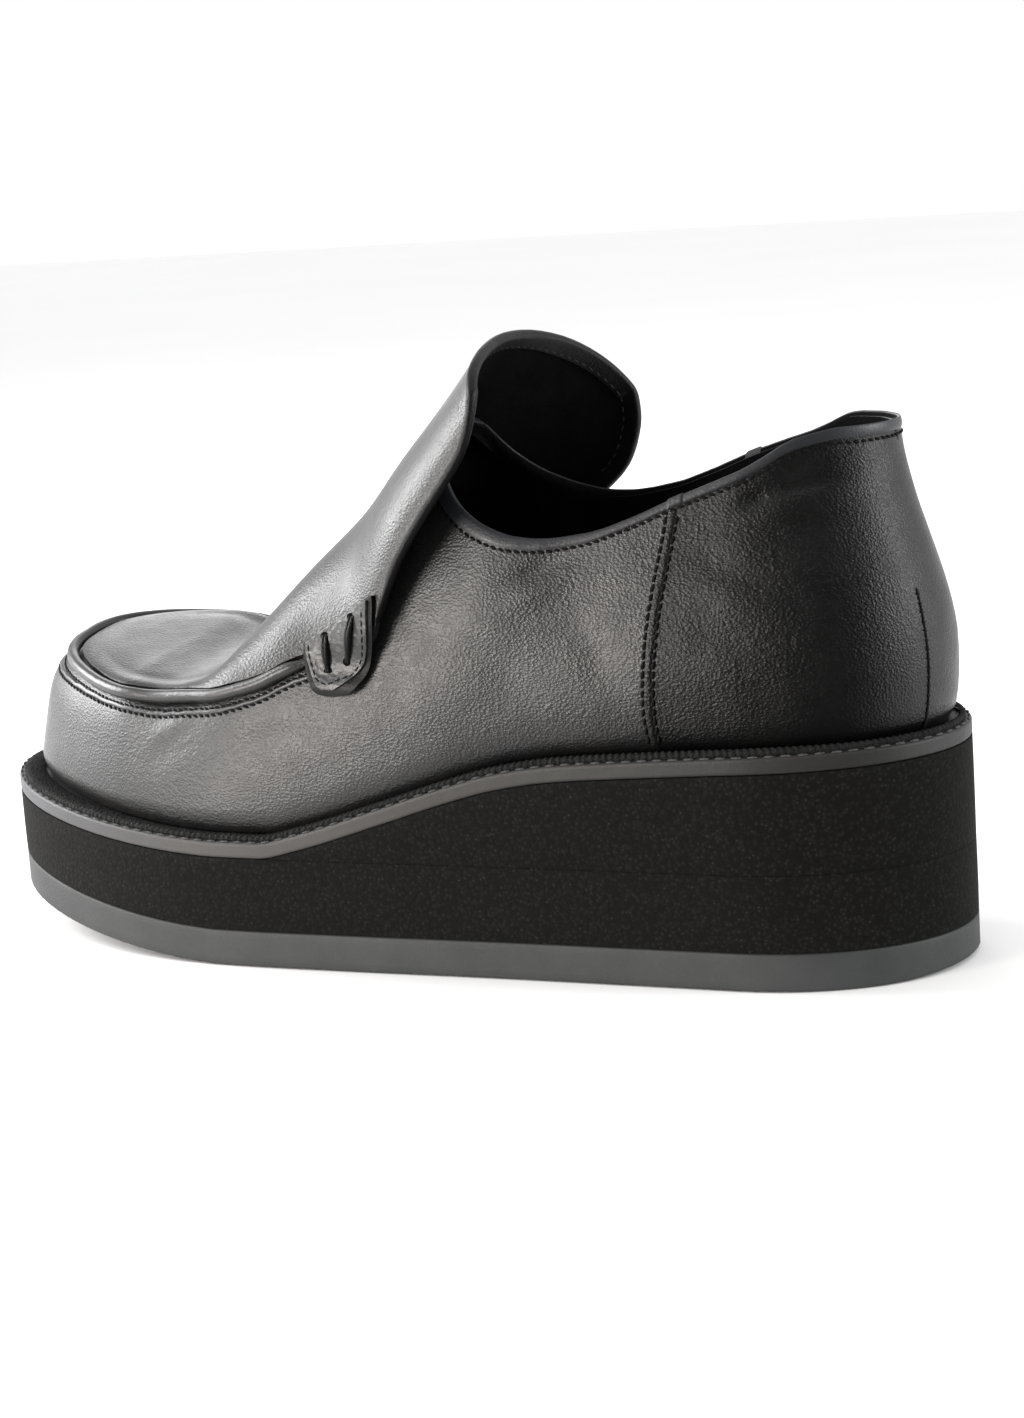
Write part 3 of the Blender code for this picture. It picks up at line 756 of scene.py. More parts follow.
def blank(name, colour, roughness, coat=0.0, coat_roughness=0.3, sheen=0.0, level=0.5):
    material = bpy.data.materials.new(name)
    material.use_nodes = True
    tree = material.node_tree
    shader = tree.nodes["Principled BSDF"]
    shader.inputs["Base Color"].default_value = (*colour, 1.0)
    shader.inputs["Roughness"].default_value = roughness
    shader.inputs["Specular IOR Level"].default_value = level
    shader.inputs["Coat Weight"].default_value = coat
    shader.inputs["Coat Roughness"].default_value = coat_roughness
    shader.inputs["Sheen Weight"].default_value = sheen
    place = tree.nodes.new("ShaderNodeTexCoord").outputs["Object"]
    return material, tree, shader, place


def node(tree, kind, inputs, **settings):
    made = tree.nodes.new(kind)
    for key, value in settings.items():
        setattr(made, key, value)
    for key, value in inputs.items():
        if isinstance(value, bpy.types.NodeSocket):
            tree.links.new(value, made.inputs[key])
        else:
            made.inputs[key].default_value = value
    return made


def noise_at(tree, place, size, detail=3.0, rough=0.55):
    made = node(tree, "ShaderNodeTexNoise",
                {"Vector": place, "Scale": 1 / size, "Detail": detail, "Roughness": rough})
    return made.outputs["Fac"]


def cells_at(tree, place, size, feature="F1"):
    made = node(tree, "ShaderNodeTexVoronoi", {"Vector": place, "Scale": 1 / size},
                feature=feature)
    return made.outputs["Distance"]


def stretched(tree, place, scale):
    return node(tree, "ShaderNodeMapping", {"Vector": place, "Scale": scale}).outputs["Vector"]


def maths(tree, operation, a, b):
    return node(tree, "ShaderNodeMath", {0: a, 1: b}, operation=operation).outputs["Value"]


def spread_to(tree, value, low, high, out_low, out_high):
    return node(tree, "ShaderNodeMapRange",
                {"Value": value, "From Min": low, "From Max": high,
                 "To Min": out_low, "To Max": out_high}).outputs["Result"]


def ramp_colour(tree, value, stops):
    made = node(tree, "ShaderNodeValToRGB", {"Fac": value})
    elements = made.color_ramp.elements
    while len(elements) < len(stops):
        elements.new(0.5)
    for element, (position, colour) in zip(elements, stops):
        element.position = position
        element.color = (*colour, 1.0)
    return made.outputs["Color"]


def coloured(tree, shader, value, *stops):
    tree.links.new(ramp_colour(tree, value, stops), shader.inputs["Base Color"])


def glossed(tree, shader, value, smooth, rough):
    tree.links.new(spread_to(tree, value, 0.3, 0.7, smooth, rough), shader.inputs["Roughness"])


def bump(tree, shader, heights):
    """Chain of bumps, each a height and its depth in metres."""
    normal = None
    for height, depth in heights:
        inputs = {"Height": height, "Strength": 1.0, "Distance": depth}
        if normal is not None:
            inputs["Normal"] = normal
        normal = node(tree, "ShaderNodeBump", inputs).outputs["Normal"]
    tree.links.new(normal, shader.inputs["Normal"])


def near(tree, place, centre, reach):
    """1 close to a place on the shoe, falling to 0 at reach from it."""
    away = node(tree, "ShaderNodeVectorMath", {0: place, 1: centre}, operation="DISTANCE")
    return spread_to(tree, away.outputs["Value"], reach * 0.3, reach, 1.0, 0.0)


# Where the leather is creased most, each a place and its reach, and how much elsewhere
CREASED_QUARTER = ((0.036, 0.096, 0.094), 0.040)
CREASED_TOE = ((0.042, -0.062, 0.058), 0.030)
CREASE_ELSEWHERE = 0.05


def leather(name, dark, light, grain=0.58 * MM, depth=0.11 * MM, rough=(0.31, 0.41),
            wrinkle=0.06 * MM, coat=0.10, level=0.5, patch=22 * MM):
    """Smooth leather: pebble grain, fine wrinkles along the shoe, soft uneven gloss."""
    material, tree, shader, place = blank(name, dark, rough[0], coat=coat, coat_roughness=0.34,
                                          level=level)
    slow = noise_at(tree, place, patch, 3)
    coloured(tree, shader, slow, (0.30, dark), (0.72, light))
    glossed(tree, shader, noise_at(tree, place, 6 * MM, 5), *rough)
    pebble = cells_at(tree, stretched(tree, place, (1.0, 0.72, 1.0)), grain)
    fine = noise_at(tree, place, grain * 0.45, 3)
    lines = noise_at(tree, stretched(tree, place, (1.0, 0.5, 1.0)), 1.1 * MM, 4, 0.6)
    creased = spread_to(tree, lines, 0.42, 0.60, 0.0, 1.0)
    where = maths(tree, "ADD", near(tree, place, *CREASED_QUARTER), CREASE_ELSEWHERE)
    where = maths(tree, "ADD", where, near(tree, place, *CREASED_TOE))
    bump(tree, shader, [(maths(tree, "MULTIPLY", creased, where), wrinkle),
                        (noise_at(tree, place, 9 * MM, 2), 0.08 * MM),
                        (pebble, depth), (fine, depth * 0.5)])
    return material


def foam(name):
    """Dense black foam: fine light specks in a matte, slightly mottled ground."""
    material, tree, shader, place = blank(name, (0.01, 0.01, 0.009), 0.85, level=0.12)
    specks = cells_at(tree, place, 1.15 * MM)
    fine = noise_at(tree, place, 0.5 * MM, 4, 0.7)
    mixed = maths(tree, "ADD", specks, maths(tree, "MULTIPLY", fine, 0.35))
    coloured(tree, shader, mixed, (0.18, (0.036, 0.036, 0.032)),
             (0.30, (0.0085, 0.0085, 0.0075)), (0.75, (0.0035, 0.0035, 0.003)))
    glossed(tree, shader, fine, 0.74, 0.92)
    bump(tree, shader, [(noise_at(tree, place, 9 * MM, 3), 0.2 * MM),
                        (fine, 0.12 * MM), (specks, 0.10 * MM)])
    return material


def rim_grey_with_painted_shade(name):
    """Grey layer of the rim, with painted light and shade along it: lighter grey at the toe, warmer
    in the middle, darkening to near black at the heel in painted shade.
    """
    material, tree, shader, place = blank(name, (0.14, 0.14, 0.15), 0.5, level=0.4)
    run = node(tree, "ShaderNodeSeparateXYZ", {"Vector": place}).outputs["Y"]
    wander = maths(tree, "MULTIPLY", noise_at(tree, place, 12 * MM, 3), 0.05)
    run = maths(tree, "ADD", run, wander)
    # Painted light and shade: the rim's grey darkens along Y from the toe to the heel.
    share = spread_to(tree, run, -0.110, 0.150, 0.0, 1.0)
    coloured(tree, shader, share, (0.0, (0.066, 0.068, 0.075)), (0.35, (0.046, 0.043, 0.040)),
             (0.62, (0.029, 0.027, 0.024)), (1.0, (0.016, 0.016, 0.0155)))
    grain = noise_at(tree, stretched(tree, place, (1.0, 1.0, 3.0)), 0.6 * MM, 4, 0.6)
    glossed(tree, shader, grain, 0.42, 0.62)
    bump(tree, shader, [(noise_at(tree, place, 5 * MM, 3), 0.12 * MM), (grain, 0.06 * MM)])
    return material


def rubber(name):
    material, tree, shader, place = blank(name, (0.065, 0.067, 0.068), 0.6, level=0.4)
    slow = noise_at(tree, place, 15 * MM, 4)
    fine = noise_at(tree, place, 0.45 * MM, 4, 0.65)
    coloured(tree, shader, slow, (0.3, (0.028, 0.030, 0.030)), (0.7, (0.038, 0.040, 0.040)))
    glossed(tree, shader, fine, 0.5, 0.7)
    bump(tree, shader, [(slow, 0.15 * MM), (fine, 0.07 * MM)])
    return material


def cloth_lining(name):
    """Near-black suede-like lining: black, and made darker and less glossy still as painted shade
    for the inside of the shoe.
    """
    material, tree, shader, place = blank(name, (0.003, 0.003, 0.003), 0.9, level=0.06)
    nap = noise_at(tree, stretched(tree, place, (1.0, 0.5, 1.0)), 0.5 * MM, 4, 0.7)
    slow = noise_at(tree, place, 10 * MM, 3)
    coloured(tree, shader, slow, (0.3, (0.0018, 0.0018, 0.002)), (0.7, (0.0036, 0.0036, 0.004)))
    glossed(tree, shader, nap, 0.75, 0.95)
    bump(tree, shader, [(slow, 0.2 * MM), (nap, 0.10 * MM)])
    return material


def thread(name, colour, roughness=0.55):
    """Waxed thread, with the twist of its strands."""
    material, tree, shader, place = blank(name, colour, roughness, level=0.2)
    twist = node(tree, "ShaderNodeTexWave", {"Vector": place, "Scale": 900.0, "Distortion": 2.0},
                 bands_direction="DIAGONAL").outputs["Fac"]
    light = tuple(c * 1.6 for c in colour)
    coloured(tree, shader, twist, (0.2, colour), (0.9, light))
    bump(tree, shader, [(twist, 0.06 * MM)])
    return material


def pale_floor(name):
    material, tree, shader, place = blank(name, (0.86, 0.86, 0.86), 0.7, level=0.15)
    slow = noise_at(tree, place, 300 * MM, 2)
    coloured(tree, shader, slow, (0.3, (0.94, 0.94, 0.94)), (0.7, (0.96, 0.96, 0.96)))
    return material


# The sole


def edge_profile(radius, steps, bulge=0.0):
    """Edge of a layer from its underside to its top: inset, share of height, fixed rise."""
    rows = []
    for n in range(steps + 1):
        angle = quarter(n, steps)
        rows.append((radius * (1 - math.sin(angle)), 0.0, radius * (1 - math.cos(angle))))
    for n in range(1, 4):
        rows.append((-bulge * math.sin(math.pi * n / 4), n / 4, 0.0))
    for n in range(steps + 1):
        angle = quarter(n, steps)
        rows.append((radius * (1 - math.cos(angle)), 1.0, -radius * (1 - math.sin(angle))))
    return rows


def make_layer(name, stations, low, high, profile, material, nodes, inset=0.0):
    """One layer of the sole, its edge shaped by a profile, closed across top and bottom."""
    loop = [(1, row) for row in profile] + [(-1, row) for row in reversed(profile)]
    loop.append(loop[0])

    def place(column, row):
        side, (depth, share, rise) = loop[row]
        along = stations[column]
        inside = inset(along) if callable(inset) else inset
        x, y = outline(along, side, depth + inside)
        return x, y, low(y) + (high(y) - low(y)) * share + rise

    bm = grid(len(stations) - 1, len(loop) - 1, place)
    bmesh.ops.remove_doubles(bm, verts=bm.verts[:], dist=0.01 * MM)
    bmesh.ops.holes_fill(bm, edges=[edge for edge in bm.edges if edge.is_boundary], sides=0)
    return finish(name, bm, [material], nodes, sharp=35)


def make_sole(looks):
    stations = sole_stations(20, 90, 16)
    make_layer("outsole_base", stations, floor_height, outsole_top, edge_profile(0.7 * MM, 3),
               looks["rubber"], ["outsole"])
    make_layer("foam_slab", stations, lambda y: outsole_top(y) + 0.05 * MM,
               lambda y: slab_top(y) - 0.02 * MM, edge_profile(0.14 * MM, 2, 0.05 * MM),
               looks["foam"], ["midsole_slab"])
    behind = [WEDGE_TIP] + [s for s in stations if s > WEDGE_TIP + 0.004]
    make_layer("foam_wedge", behind, lambda y: slab_top(y) + 0.02 * MM,
               lambda y: wedge_top(y) - 0.05 * MM, edge_profile(0.14 * MM, 2, 0.05 * MM),
               looks["foam"], ["midsole_wedge"])
    make_layer("rim_layer", stations, wedge_top, platform, edge_profile(0.75 * MM, 4),
               looks["rim"], ["welt_rim"])


def sole_loop(step):
    """Places about step apart once round the sole's outline, as side and along."""
    fine = sole_stations(60, 240, 40)
    loop = [(1, s) for s in reversed(fine)] + [(-1, s) for s in fine[1:]]
    places = []
    left = 0.0
    before = None
    for side, along in loop:
        here = outline(along, side, WELT_MARGIN)
        if before is not None:
            run = math.dist(before[1], here)
            while run > 0 and left <= run:
                share = left / run
                from_along = before[0][1]
                places.append((side, from_along + (along - from_along) * share))
                left += step
            left -= run
        before = ((side, along), here)
    return places


def welt_inner(along):
    return WELT_MARGIN + WELT_WIDTH + upper_inset(along) - UPPER_INSET


def make_welt(looks):
    """Knurled welt strip, pressed into close ridges, with a stitch row on the rim."""
    places = sole_loop(WELT_RIDGE / 4)
    section = [(0.0, 0.05), (0.0, 0.55), (0.12, 0.86), (0.32, 1.0), (0.6, 1.02), (0.85, 0.95),
               (1.0, 0.75)]

    def place(column, row):
        side, along = places[column % len(places)]
        share, rise = section[row]
        wave = 0.5 + 0.5 * math.cos(math.pi / 2 * column)
        inner = welt_inner(along)
        deep = 0.22 * MM * (1 - wave)
        x, y = outline(along, side, WELT_MARGIN + deep + (inner - WELT_MARGIN - deep) * share)
        return x, y, platform(y) + (WELT_HEIGHT + 0.25 * MM) * rise * (0.78 + 0.22 * wave)

    finish("welt_band", grid(len(places), len(section) - 1, place), [looks["welt"]],
           ["welt_strip"], sharp=80)
    bm = bmesh.new()
    for side, along in sole_loop(3.9 * MM):
        inset = WELT_MARGIN * 0.45
        x, y = outline(along, side, inset)
        ahead = outline(min(along + 0.004, 1.0), side, inset)
        behind = outline(max(along - 0.004, 0.0), side, inset)
        way = Vector((ahead[0] - behind[0], ahead[1] - behind[1],
                      platform(ahead[1]) - platform(behind[1])))
        if way.length < 1e-6:
            continue
        add_bead(bm, (x, y, platform(y) + 0.12 * MM), way, (0, 0, 1),
                 1.35 * MM, 0.42 * MM, 0.32 * MM)
    finish("welt_stitches", bm, [looks["pale_thread"]], sharp=180)


def make_sock(looks):
    def inset(along):
        return upper_inset(along) + FEATHER_TUCK + WALL + 2 * GAP

    stations = sole_stations(14, 50, 12)
    make_layer("sock_lining", stations, lambda y: platform(y) + GAP,
               lambda y: platform(y) + GAP + INSOLE_THICKNESS, edge_profile(0.8 * MM, 3),
               looks["lining"], ["insole"], inset)


# The upper


def fine_stations():
    """Shares along the last, close together for the folds of the leather."""
    stations = [SPINE_TOE * (1 - math.cos(quarter(n, 26)) ** (2 / TOE_SQUARE))
                for n in range(26)]
    start = THROAT_ALONG - UPPER_TOP / SOLE_LENGTH
    stations += [SPINE_TOE + (start - SPINE_TOE) * n / 62 for n in range(63)]
    stations += [start + (THROAT_END - start) * (n / 26) ** 1.6 for n in range(1, 27)]
    stations += [THROAT_END + (SPINE_HEEL - THROAT_END) * n / 52 for n in range(1, 53)]
    stations += [1 - (1 - SPINE_HEEL) * (1 - math.sin(quarter(n, 26)) ** (2 / HEEL_SQUARE))
                 for n in range(1, 27)]
    return stations


def seam_y(z):
    """Where the side seam is at height z."""
    return follow([(h * MM, y * MM) for y, h in reversed(SIDE_SEAM)], 1, z)


def make_upper(looks):
    loop = loop_of_ribs(fine_stations())
    rows = 58

    def place(column, row):
        side, along = loop[column]
        end = topline_part(side, along, UPPER_TOP)
        if row < 5:
            return upper_point(side, along, row / 5)
        if row < 17:
            return upper_point(side, along, 1 + (WALL_END - 1) * (row - 5) / 12)
        return upper_point(side, along, WALL_END + (end - WALL_END) * (row - 17) / (rows - 17))

    bm = grid(len(loop) - 1, rows, place)
    bmesh.ops.reverse_faces(bm, faces=bm.faces[:])
    # Faces behind the side seam take the darker, less glossy copy of the leather: painted shade on
    # the rear quarter.
    for face in bm.faces:
        middle = face.calc_center_median()
        if middle.y > seam_y(middle.z):
            face.material_index = 2
    piece = finish("quarters", bm, [looks["leather"], looks["lining"], looks["heel_leather"],
                                    looks["lining"]], ["upper"], outward=False)
    thicken(piece, WALL, -1, inside=1)


def make_side_seams(looks):
    """Raised strip down each side, between two rows of stitches."""
    profile = [(-0.5, -0.12), (-0.48, 0.10), (-0.36, 0.24), (-0.15, 0.30), (0.15, 0.30),
               (0.36, 0.24), (0.48, 0.10), (0.5, -0.12)]
    rows = []
    for side, label in SIDES:
        path = smooth_path([(y * MM, z * MM, 0.0) for y, z in SIDE_SEAM], 0.8 * MM)
        high = topline_part(side, along_at(path[0][0] / SPREAD), BINDING_HEIGHT - 0.6 * MM)

        def place(column, row, path=path, side=side, high=high):
            y, z, _ = path[column]
            across, rise = profile[row]
            if wall_part(along_at(y / SPREAD), z) > high:
                along = along_at((y + across * SEAM_WIDTH) / SPREAD)
                return upper_point(side, along, high, rise * MM)
            width = SEAM_WIDTH * (1.0 + 0.10 * math.sin(column * 0.35))
            return on_upper(side, y + across * width, z, rise * MM)

        bm = grid(len(path) - 1, len(profile) - 1, place)
        # The strip takes the darker, less glossy copy of the leather: painted shade.
        finish("side_seam_" + label, bm, [looks["heel_leather"]], sharp=70)
        for edge in (-1, 1):
            points = [on_upper(side, y + edge * SEAM_WIDTH * SEAM_STITCH_SPREAD, z, 0.16 * MM)
                      for y, z, _ in path if z < SEAM_STITCH_TOP]
            rows.append((points, sideways(side)))
    stitches("side_seam_stitches", rows, 2.3 * MM, 2.15 * MM, 1.0 * MM, looks["thread"],
             slant=0.22, height=0.8)


def make_heel_seam(looks):
    """Closed seam beside the middle of the heel, with short stitches across it."""
    low, high = HEEL_SEAM
    count = 46
    bm = bmesh.new()
    points = []
    for n in range(count + 1):
        z = (low + (high - low) * n / count) * MM
        part = wall_part(HEEL_SEAM_ALONG, z)
        points.append(Vector(upper_point(1, HEEL_SEAM_ALONG, part, 0.02 * MM)))
    for n in range(0, count, 2):
        add_bead(bm, points[n], points[n + 1] - points[n], away_from_spine(points[n]),
                 1.1 * MM, 0.42 * MM, 0.28 * MM)
    for place, way in spaced(points, 2.2 * MM):
        add_bead(bm, place, Vector((0.9, -0.35, 0.25)), away_from_spine(place),
                 0.75 * MM, 0.26 * MM, 0.34 * MM)
    finish("heel_seam", bm, [looks["thread"]], sharp=180)


def make_binding(looks):
    """Folded band over the topline, with its joint over each side seam and a stitch row."""
    stations = [s for s in fine_stations() if s >= THROAT_ALONG - BINDING_HEIGHT / SOLE_LENGTH]
    start = THROAT_ALONG - BINDING_HEIGHT / SOLE_LENGTH
    stations = sorted(stations + [start + 0.2 * MM / SOLE_LENGTH * n * n for n in range(6)])
    loop = loop_of_ribs(stations)
    radius = BINDING_WALL / 2
    proud = (BINDING_WALL - WALL) / 2
    section = [(BAND_FOOT, -0.15 * MM), (BAND_FOOT + 0.08 * MM, 0.16 * MM),
               (BAND_FOOT - 0.25 * MM, 0.40 * MM), (2.5 * MM, 0.46 * MM), (2.0 * MM, 0.46 * MM)]
    for n in range(9):
        angle = math.pi * n / 8
        section.append((radius * (1 - math.sin(angle)),
                        proud - radius + radius * math.cos(angle)))
    section += [(2.6 * MM, proud - BINDING_WALL - 0.1 * MM), (3.8 * MM, proud - BINDING_WALL),
                (4.0 * MM, 0.15 * MM - WALL)]

    def place(column, row):
        side, along = loop[column]
        margin, grow = section[row]
        along = max(along, THROAT_ALONG - margin / SOLE_LENGTH)
        wave = 0.10 * MM * noise.noise(Vector((side * 40, along * 90, 0)))
        return last_point(side, along, topline_part(side, along, margin), grow + wave)

    bm = grid(len(loop) - 1, len(section) - 1, place, inside_from=9)
    bmesh.ops.reverse_faces(bm, faces=bm.faces[:])
    finish("topline_binding", bm, [looks["binding"], looks["lining"]],
           ["collar_binding"], outward=False)
    rows = []
    for side in (1, -1):
        points = []
        for along in stations:
            if along < THROAT_ALONG + 0.004:
                continue
            lower = 0.5 * MM * ramp(along, 0.80, 0.90)
            points.append(upper_point(side, along,
                                      topline_part(side, along, BINDING_STITCH + lower), 0.12 * MM))
        rows.append((points, away_from_spine))
    stitches("binding_stitches", rows, 2.05 * MM, 1.8 * MM, 0.85 * MM, looks["thread"],
             slant=0.25, height=0.8)
    for side, label in SIDES:
        make_binding_joint(label, side, section, looks)


def make_binding_joint(label, side, section, looks):
    """Overlap of the band where it meets the side seam."""
    centre = along_at(SIDE_SEAM[0][0] * MM / SPREAD)
    half = 2.2 * MM / SOLE_LENGTH
    columns = 10

    def place(column, row):
        along = centre + half * (2 * column / columns - 1)
        margin, grow = section[row]
        if row > 4:
            margin = max(margin - 0.25 * MM, 0.0)
        lift = 0.22 * MM if 0 < column < columns else -0.1 * MM
        if row >= len(section) - 7:
            lift = -lift
        return last_point(side, along, topline_part(side, along, margin), grow + lift)

    bm = grid(columns, len(section) - 1, place)
    finish("binding_joint_" + label, bm, [looks["binding"]])


# The apron


def apron_point(side, along, share):
    """Point of the inner face of the apron and its flap."""
    flap = ramp(along, *FLAP_BLEND)
    here = along + (edge_along(along, side) - along) * share ** 2
    start = min(apron_edge_part(min(here, ROLL_END)), 2.0)
    flat = last_point(side, here, 2 - (2 - start) * share, APRON_CLEAR)
    if flap == 0:
        return flat
    stand = flap_point(side, along, share)
    return keep_clear(side, [a + (b - a) * flap for a, b in zip(flat, stand)])


def signed_point(along, across):
    """Point of the apron: its rows get shorter towards the top, for round corners."""
    top = FLAP[-1][0]
    t = clamp((along - CORNER_START) / (top - CORNER_START))
    across *= 1 - CORNER_TRIM * (1 - math.sqrt(1 - t * t))
    return Vector(apron_point(-1 if across < 0 else 1, along, abs(across)))


def apron_normal(along, across):
    """Outward way of the apron at one place."""
    top = FLAP[-1][0]
    one = (signed_point(min(along + 0.002, top), across)
           - signed_point(min(along, top - 0.002), across))
    two = (signed_point(along, min(across + 0.02, 1.0))
           - signed_point(along, max(across - 0.02, -1.0)))
    way = one.cross(two).normalized()
    place = signed_point(along, across)
    if way.dot(Vector((place[0], -0.02, 0.05))) < 0:
        way.negate()
    return way


def make_apron(looks):
    stations = [s for s in fine_stations() if s <= FLAP_BLEND[1]]
    last = stations[-1]
    for n in range(1, 31):
        stations.append(last + (FLAP[-1][0] - last) * math.sin(quarter(n, 30)))
    half = 34

    def place(column, row):
        across = (row - half) / half
        along = stations[column]
        point = signed_point(along, across)
        swell = 0.22 * MM * noise.noise(point / (24 * MM))
        point.z += swell * ramp(along, 0.20, 0.30) - hollow(point.y, 1 - abs(across))
        return point

    bm = grid(len(stations) - 1, 2 * half, place)
    for _ in range(10):
        inner = [v for v in bm.verts
                 if not v.is_boundary and v.co.z > 70 * MM and v.co.y > -45 * MM]
        bmesh.ops.smooth_vert(bm, verts=inner, factor=0.5, use_axis_x=True, use_axis_y=True,
                              use_axis_z=True)
    piece = finish("apron_panel", bm, [looks["leather"], looks["lining"]], ["apron"],
                   outward=False)
    if piece.data.polygons[0].normal.z < 0:
        piece.data.flip_normals()
    thicken(piece, APRON_WALL, 1, inside=1, bevel=0.4 * MM)


def flap_edge_path():
    """Places along the flap's free edge, as along and across, from lateral to medial."""
    top = FLAP[-1][0]
    side = [EDGE_START + (top - EDGE_START) * math.sin(quarter(n, 60)) for n in range(61)]
    over = [math.cos(math.pi * n / 40) for n in range(1, 40)]
    return ([(along, 1.0) for along in side] + [(top, across) for across in over]
            + [(along, -1.0) for along in reversed(side)])


def averaged(vectors, times):
    for _ in range(times):
        vectors = [vectors[0]] + [(a + 2 * b + c) / 4 for a, b, c in
                                  zip(vectors, vectors[1:], vectors[2:])] + [vectors[-1]]
    return vectors


def flap_edge_frames():
    """Edge points with their outward way and the way in from the edge."""
    path = flap_edge_path()
    points = averaged([signed_point(*p) for p in path], 3)
    normals = averaged([apron_normal(*p) for p in path], 4)
    frames = []
    for n, point in enumerate(points):
        run = points[min(n + 1, len(points) - 1)] - points[max(n - 1, 0)]
        inward = normals[n].cross(run).normalized()
        along, across = path[n]
        inner = signed_point(along - 0.01, across * 0.85)
        if inward.dot(inner - point) < 0:
            inward.negate()
        frames.append((point, normals[n].normalized(), inward))
    return frames


def make_flap_edge(looks):
    """Thick turned edge round the flap, with a stitch row inside it."""
    frames = flap_edge_frames()
    section = [(EDGE_INNER, 0.15), (EDGE_INNER, -0.30), (4.1 * MM, -0.52), (3.0 * MM, -0.62),
               (1.8 * MM, -0.66), (0.9 * MM, -0.62)]
    for n in range(7):
        angle = math.pi * n / 6
        section.append((0.3 * MM - 0.95 * MM * math.sin(angle), 0.75 - 1.38 * math.cos(angle)))
    section += [(0.8 * MM, 2.06), (1.1 * MM, 1.98), (EDGE_OUTER, 1.75), (EDGE_OUTER, 1.40)]

    def place(column, row):
        point, normal, inward = frames[column]
        depth, rise = section[row]
        ends = min(column, len(frames) - 1 - column)
        size = 0.25 + 0.75 * ramp(ends, 0, 8)
        wave = 1 + 0.06 * noise.noise(Vector((column * 0.15, row * 0.1, 0)))
        return point + inward * depth * size * wave + normal * rise * MM * wave

    bm = grid(len(frames) - 1, len(section) - 1, place)
    finish("flap_edge", bm, [looks["edge"]])
    inner = [point + inward * (EDGE_INNER - 0.9 * MM) - normal * 0.62 * MM
             for point, normal, inward in frames[22:-22]]

    def inside_way(place):
        best = min(frames, key=lambda f: (f[0] - place).length_squared)
        return -best[1]

    stitches("flap_edge_stitches", [(inner, inside_way)], 2.6 * MM, 1.7 * MM, 0.45 * MM,
             looks["worn_thread"], slant=0.1)


# Stitch rows under the roll: name, drop below the roll, pitch, length and width in mm,
# slant, height
ROLL_ROWS = [
    ("roll_stitches", 3.7, 2.1, 2.0, 0.85, 0.32, 0.8),
    ("roll_groove_stitches", 2.05, 1.9, 1.9, 0.8, 0.28, 0.6),
]


def roll_loop():
    toe = [s for s in fine_stations() if s < ROLL_END - 0.004]
    return loop_of_ribs(toe + [ROLL_END])


def make_roll(looks):
    """Raised rolled seam round the apron, with a lip and two stitch rows under it."""
    loop = roll_loop()
    points = averaged([Vector(roll_point(side, along, GAP + ROLL_RADIUS))
                       for side, along in loop], 2)
    hubs = [Vector(roll_point(side, along, 0.0)) for side, along in loop]
    sides = 14

    def place(column, row):
        point = points[column]
        run = (points[min(column + 1, len(points) - 1)] - points[max(column - 1, 0)]).normalized()
        out = (point - hubs[column]).normalized()
        across = run.cross(out).normalized()
        out = across.cross(run)
        angle = 2 * math.pi * row / sides
        end = min(column, len(points) - 1 - column)
        uneven = 1.0 + 0.06 * noise.noise(point / (5 * MM))
        size = ROLL_RADIUS * uneven * (0.35 + 0.65 * ramp(end, 0, 5))
        return point + (out * math.cos(angle) + across * math.sin(angle)) * size

    bm = grid(len(points) - 1, sides, place)
    bmesh.ops.remove_doubles(bm, verts=bm.verts[:], dist=0.01 * MM)
    bmesh.ops.holes_fill(bm, edges=[edge for edge in bm.edges if edge.is_boundary], sides=0)
    finish("apron_roll_seam", bm, [looks["leather_smooth"]], ["apron_roll"], sharp=180)
    for name, drop, pitch, length, width, slant, height in ROLL_ROWS:
        path = [upper_point(side, along, part_at_height(along, roll_height(along) - drop * MM),
                            0.05 * MM) for side, along in loop]
        stitches(name, [(path, away_from_spine)], pitch * MM, length * MM, width * MM,
                 looks["thread"], slant=slant, height=height)

    def lip(column, row):
        side, along = loop[column]
        drop, rise = ((2.2, -0.1), (2.4, 0.26), (2.9, 0.38), (3.3, 0.22), (3.5, -0.1))[row]
        z = roll_height(along) - drop * MM
        jag = 0.10 * MM * math.sin(column * 1.9)
        return upper_point(side, along, part_at_height(along, z + jag), rise * MM)

    bm = grid(len(loop) - 1, 4, lip)
    finish("roll_lip", bm, [looks["leather_smooth"]])


# The tabs


# Height at which a tab hangs free, where it stops turning in, and where the turn runs
TAB_HUNG = 90 * MM
TAB_TURN_END = 72 * MM
TAB_TURN = (66.5 * MM, 73.5 * MM)

# A tab is laid on the leather on a grid of places: its corner, spacing and size, the
# rounds in which it is drawn smooth over the leather and then softened, how far out the
# search for the leather starts, the air left under the tab, and the reach over which
# its slope is taken
LEATHER_UNDER_TABS = ["quarters", "apron_panel", "apron_roll_seam"]
LAID_FRONT = -21 * MM
LAID_FOOT = 66 * MM
LAID_SPACING = 1 * MM
LAID_COLUMNS = 30
LAID_ROWS = 34
LAID_ROUNDS = 34
LAID_SOFTENING = 4
LAID_REACH = 30 * MM
LAID_AIR = 0.2 * MM
LAID_SLOPE = 1.5 * MM


def cut_tab_place(side, y, z):
    """Place on a tab as it is cut, hanging straight down and not yet laid on the leather."""
    hung = tab_x(side, y, TAB_HUNG)
    turned = tab_x(side, y, min(z, TAB_TURN_END))
    return Vector((turned + (hung - turned) * ramp(z, *TAB_TURN), y, z))


def lay_way(side):
    """Way in which a tab is pressed on: the photo's line of sight, or its mirror image."""
    return Vector((-0.852 * side, -0.493, -0.174)).normalized()


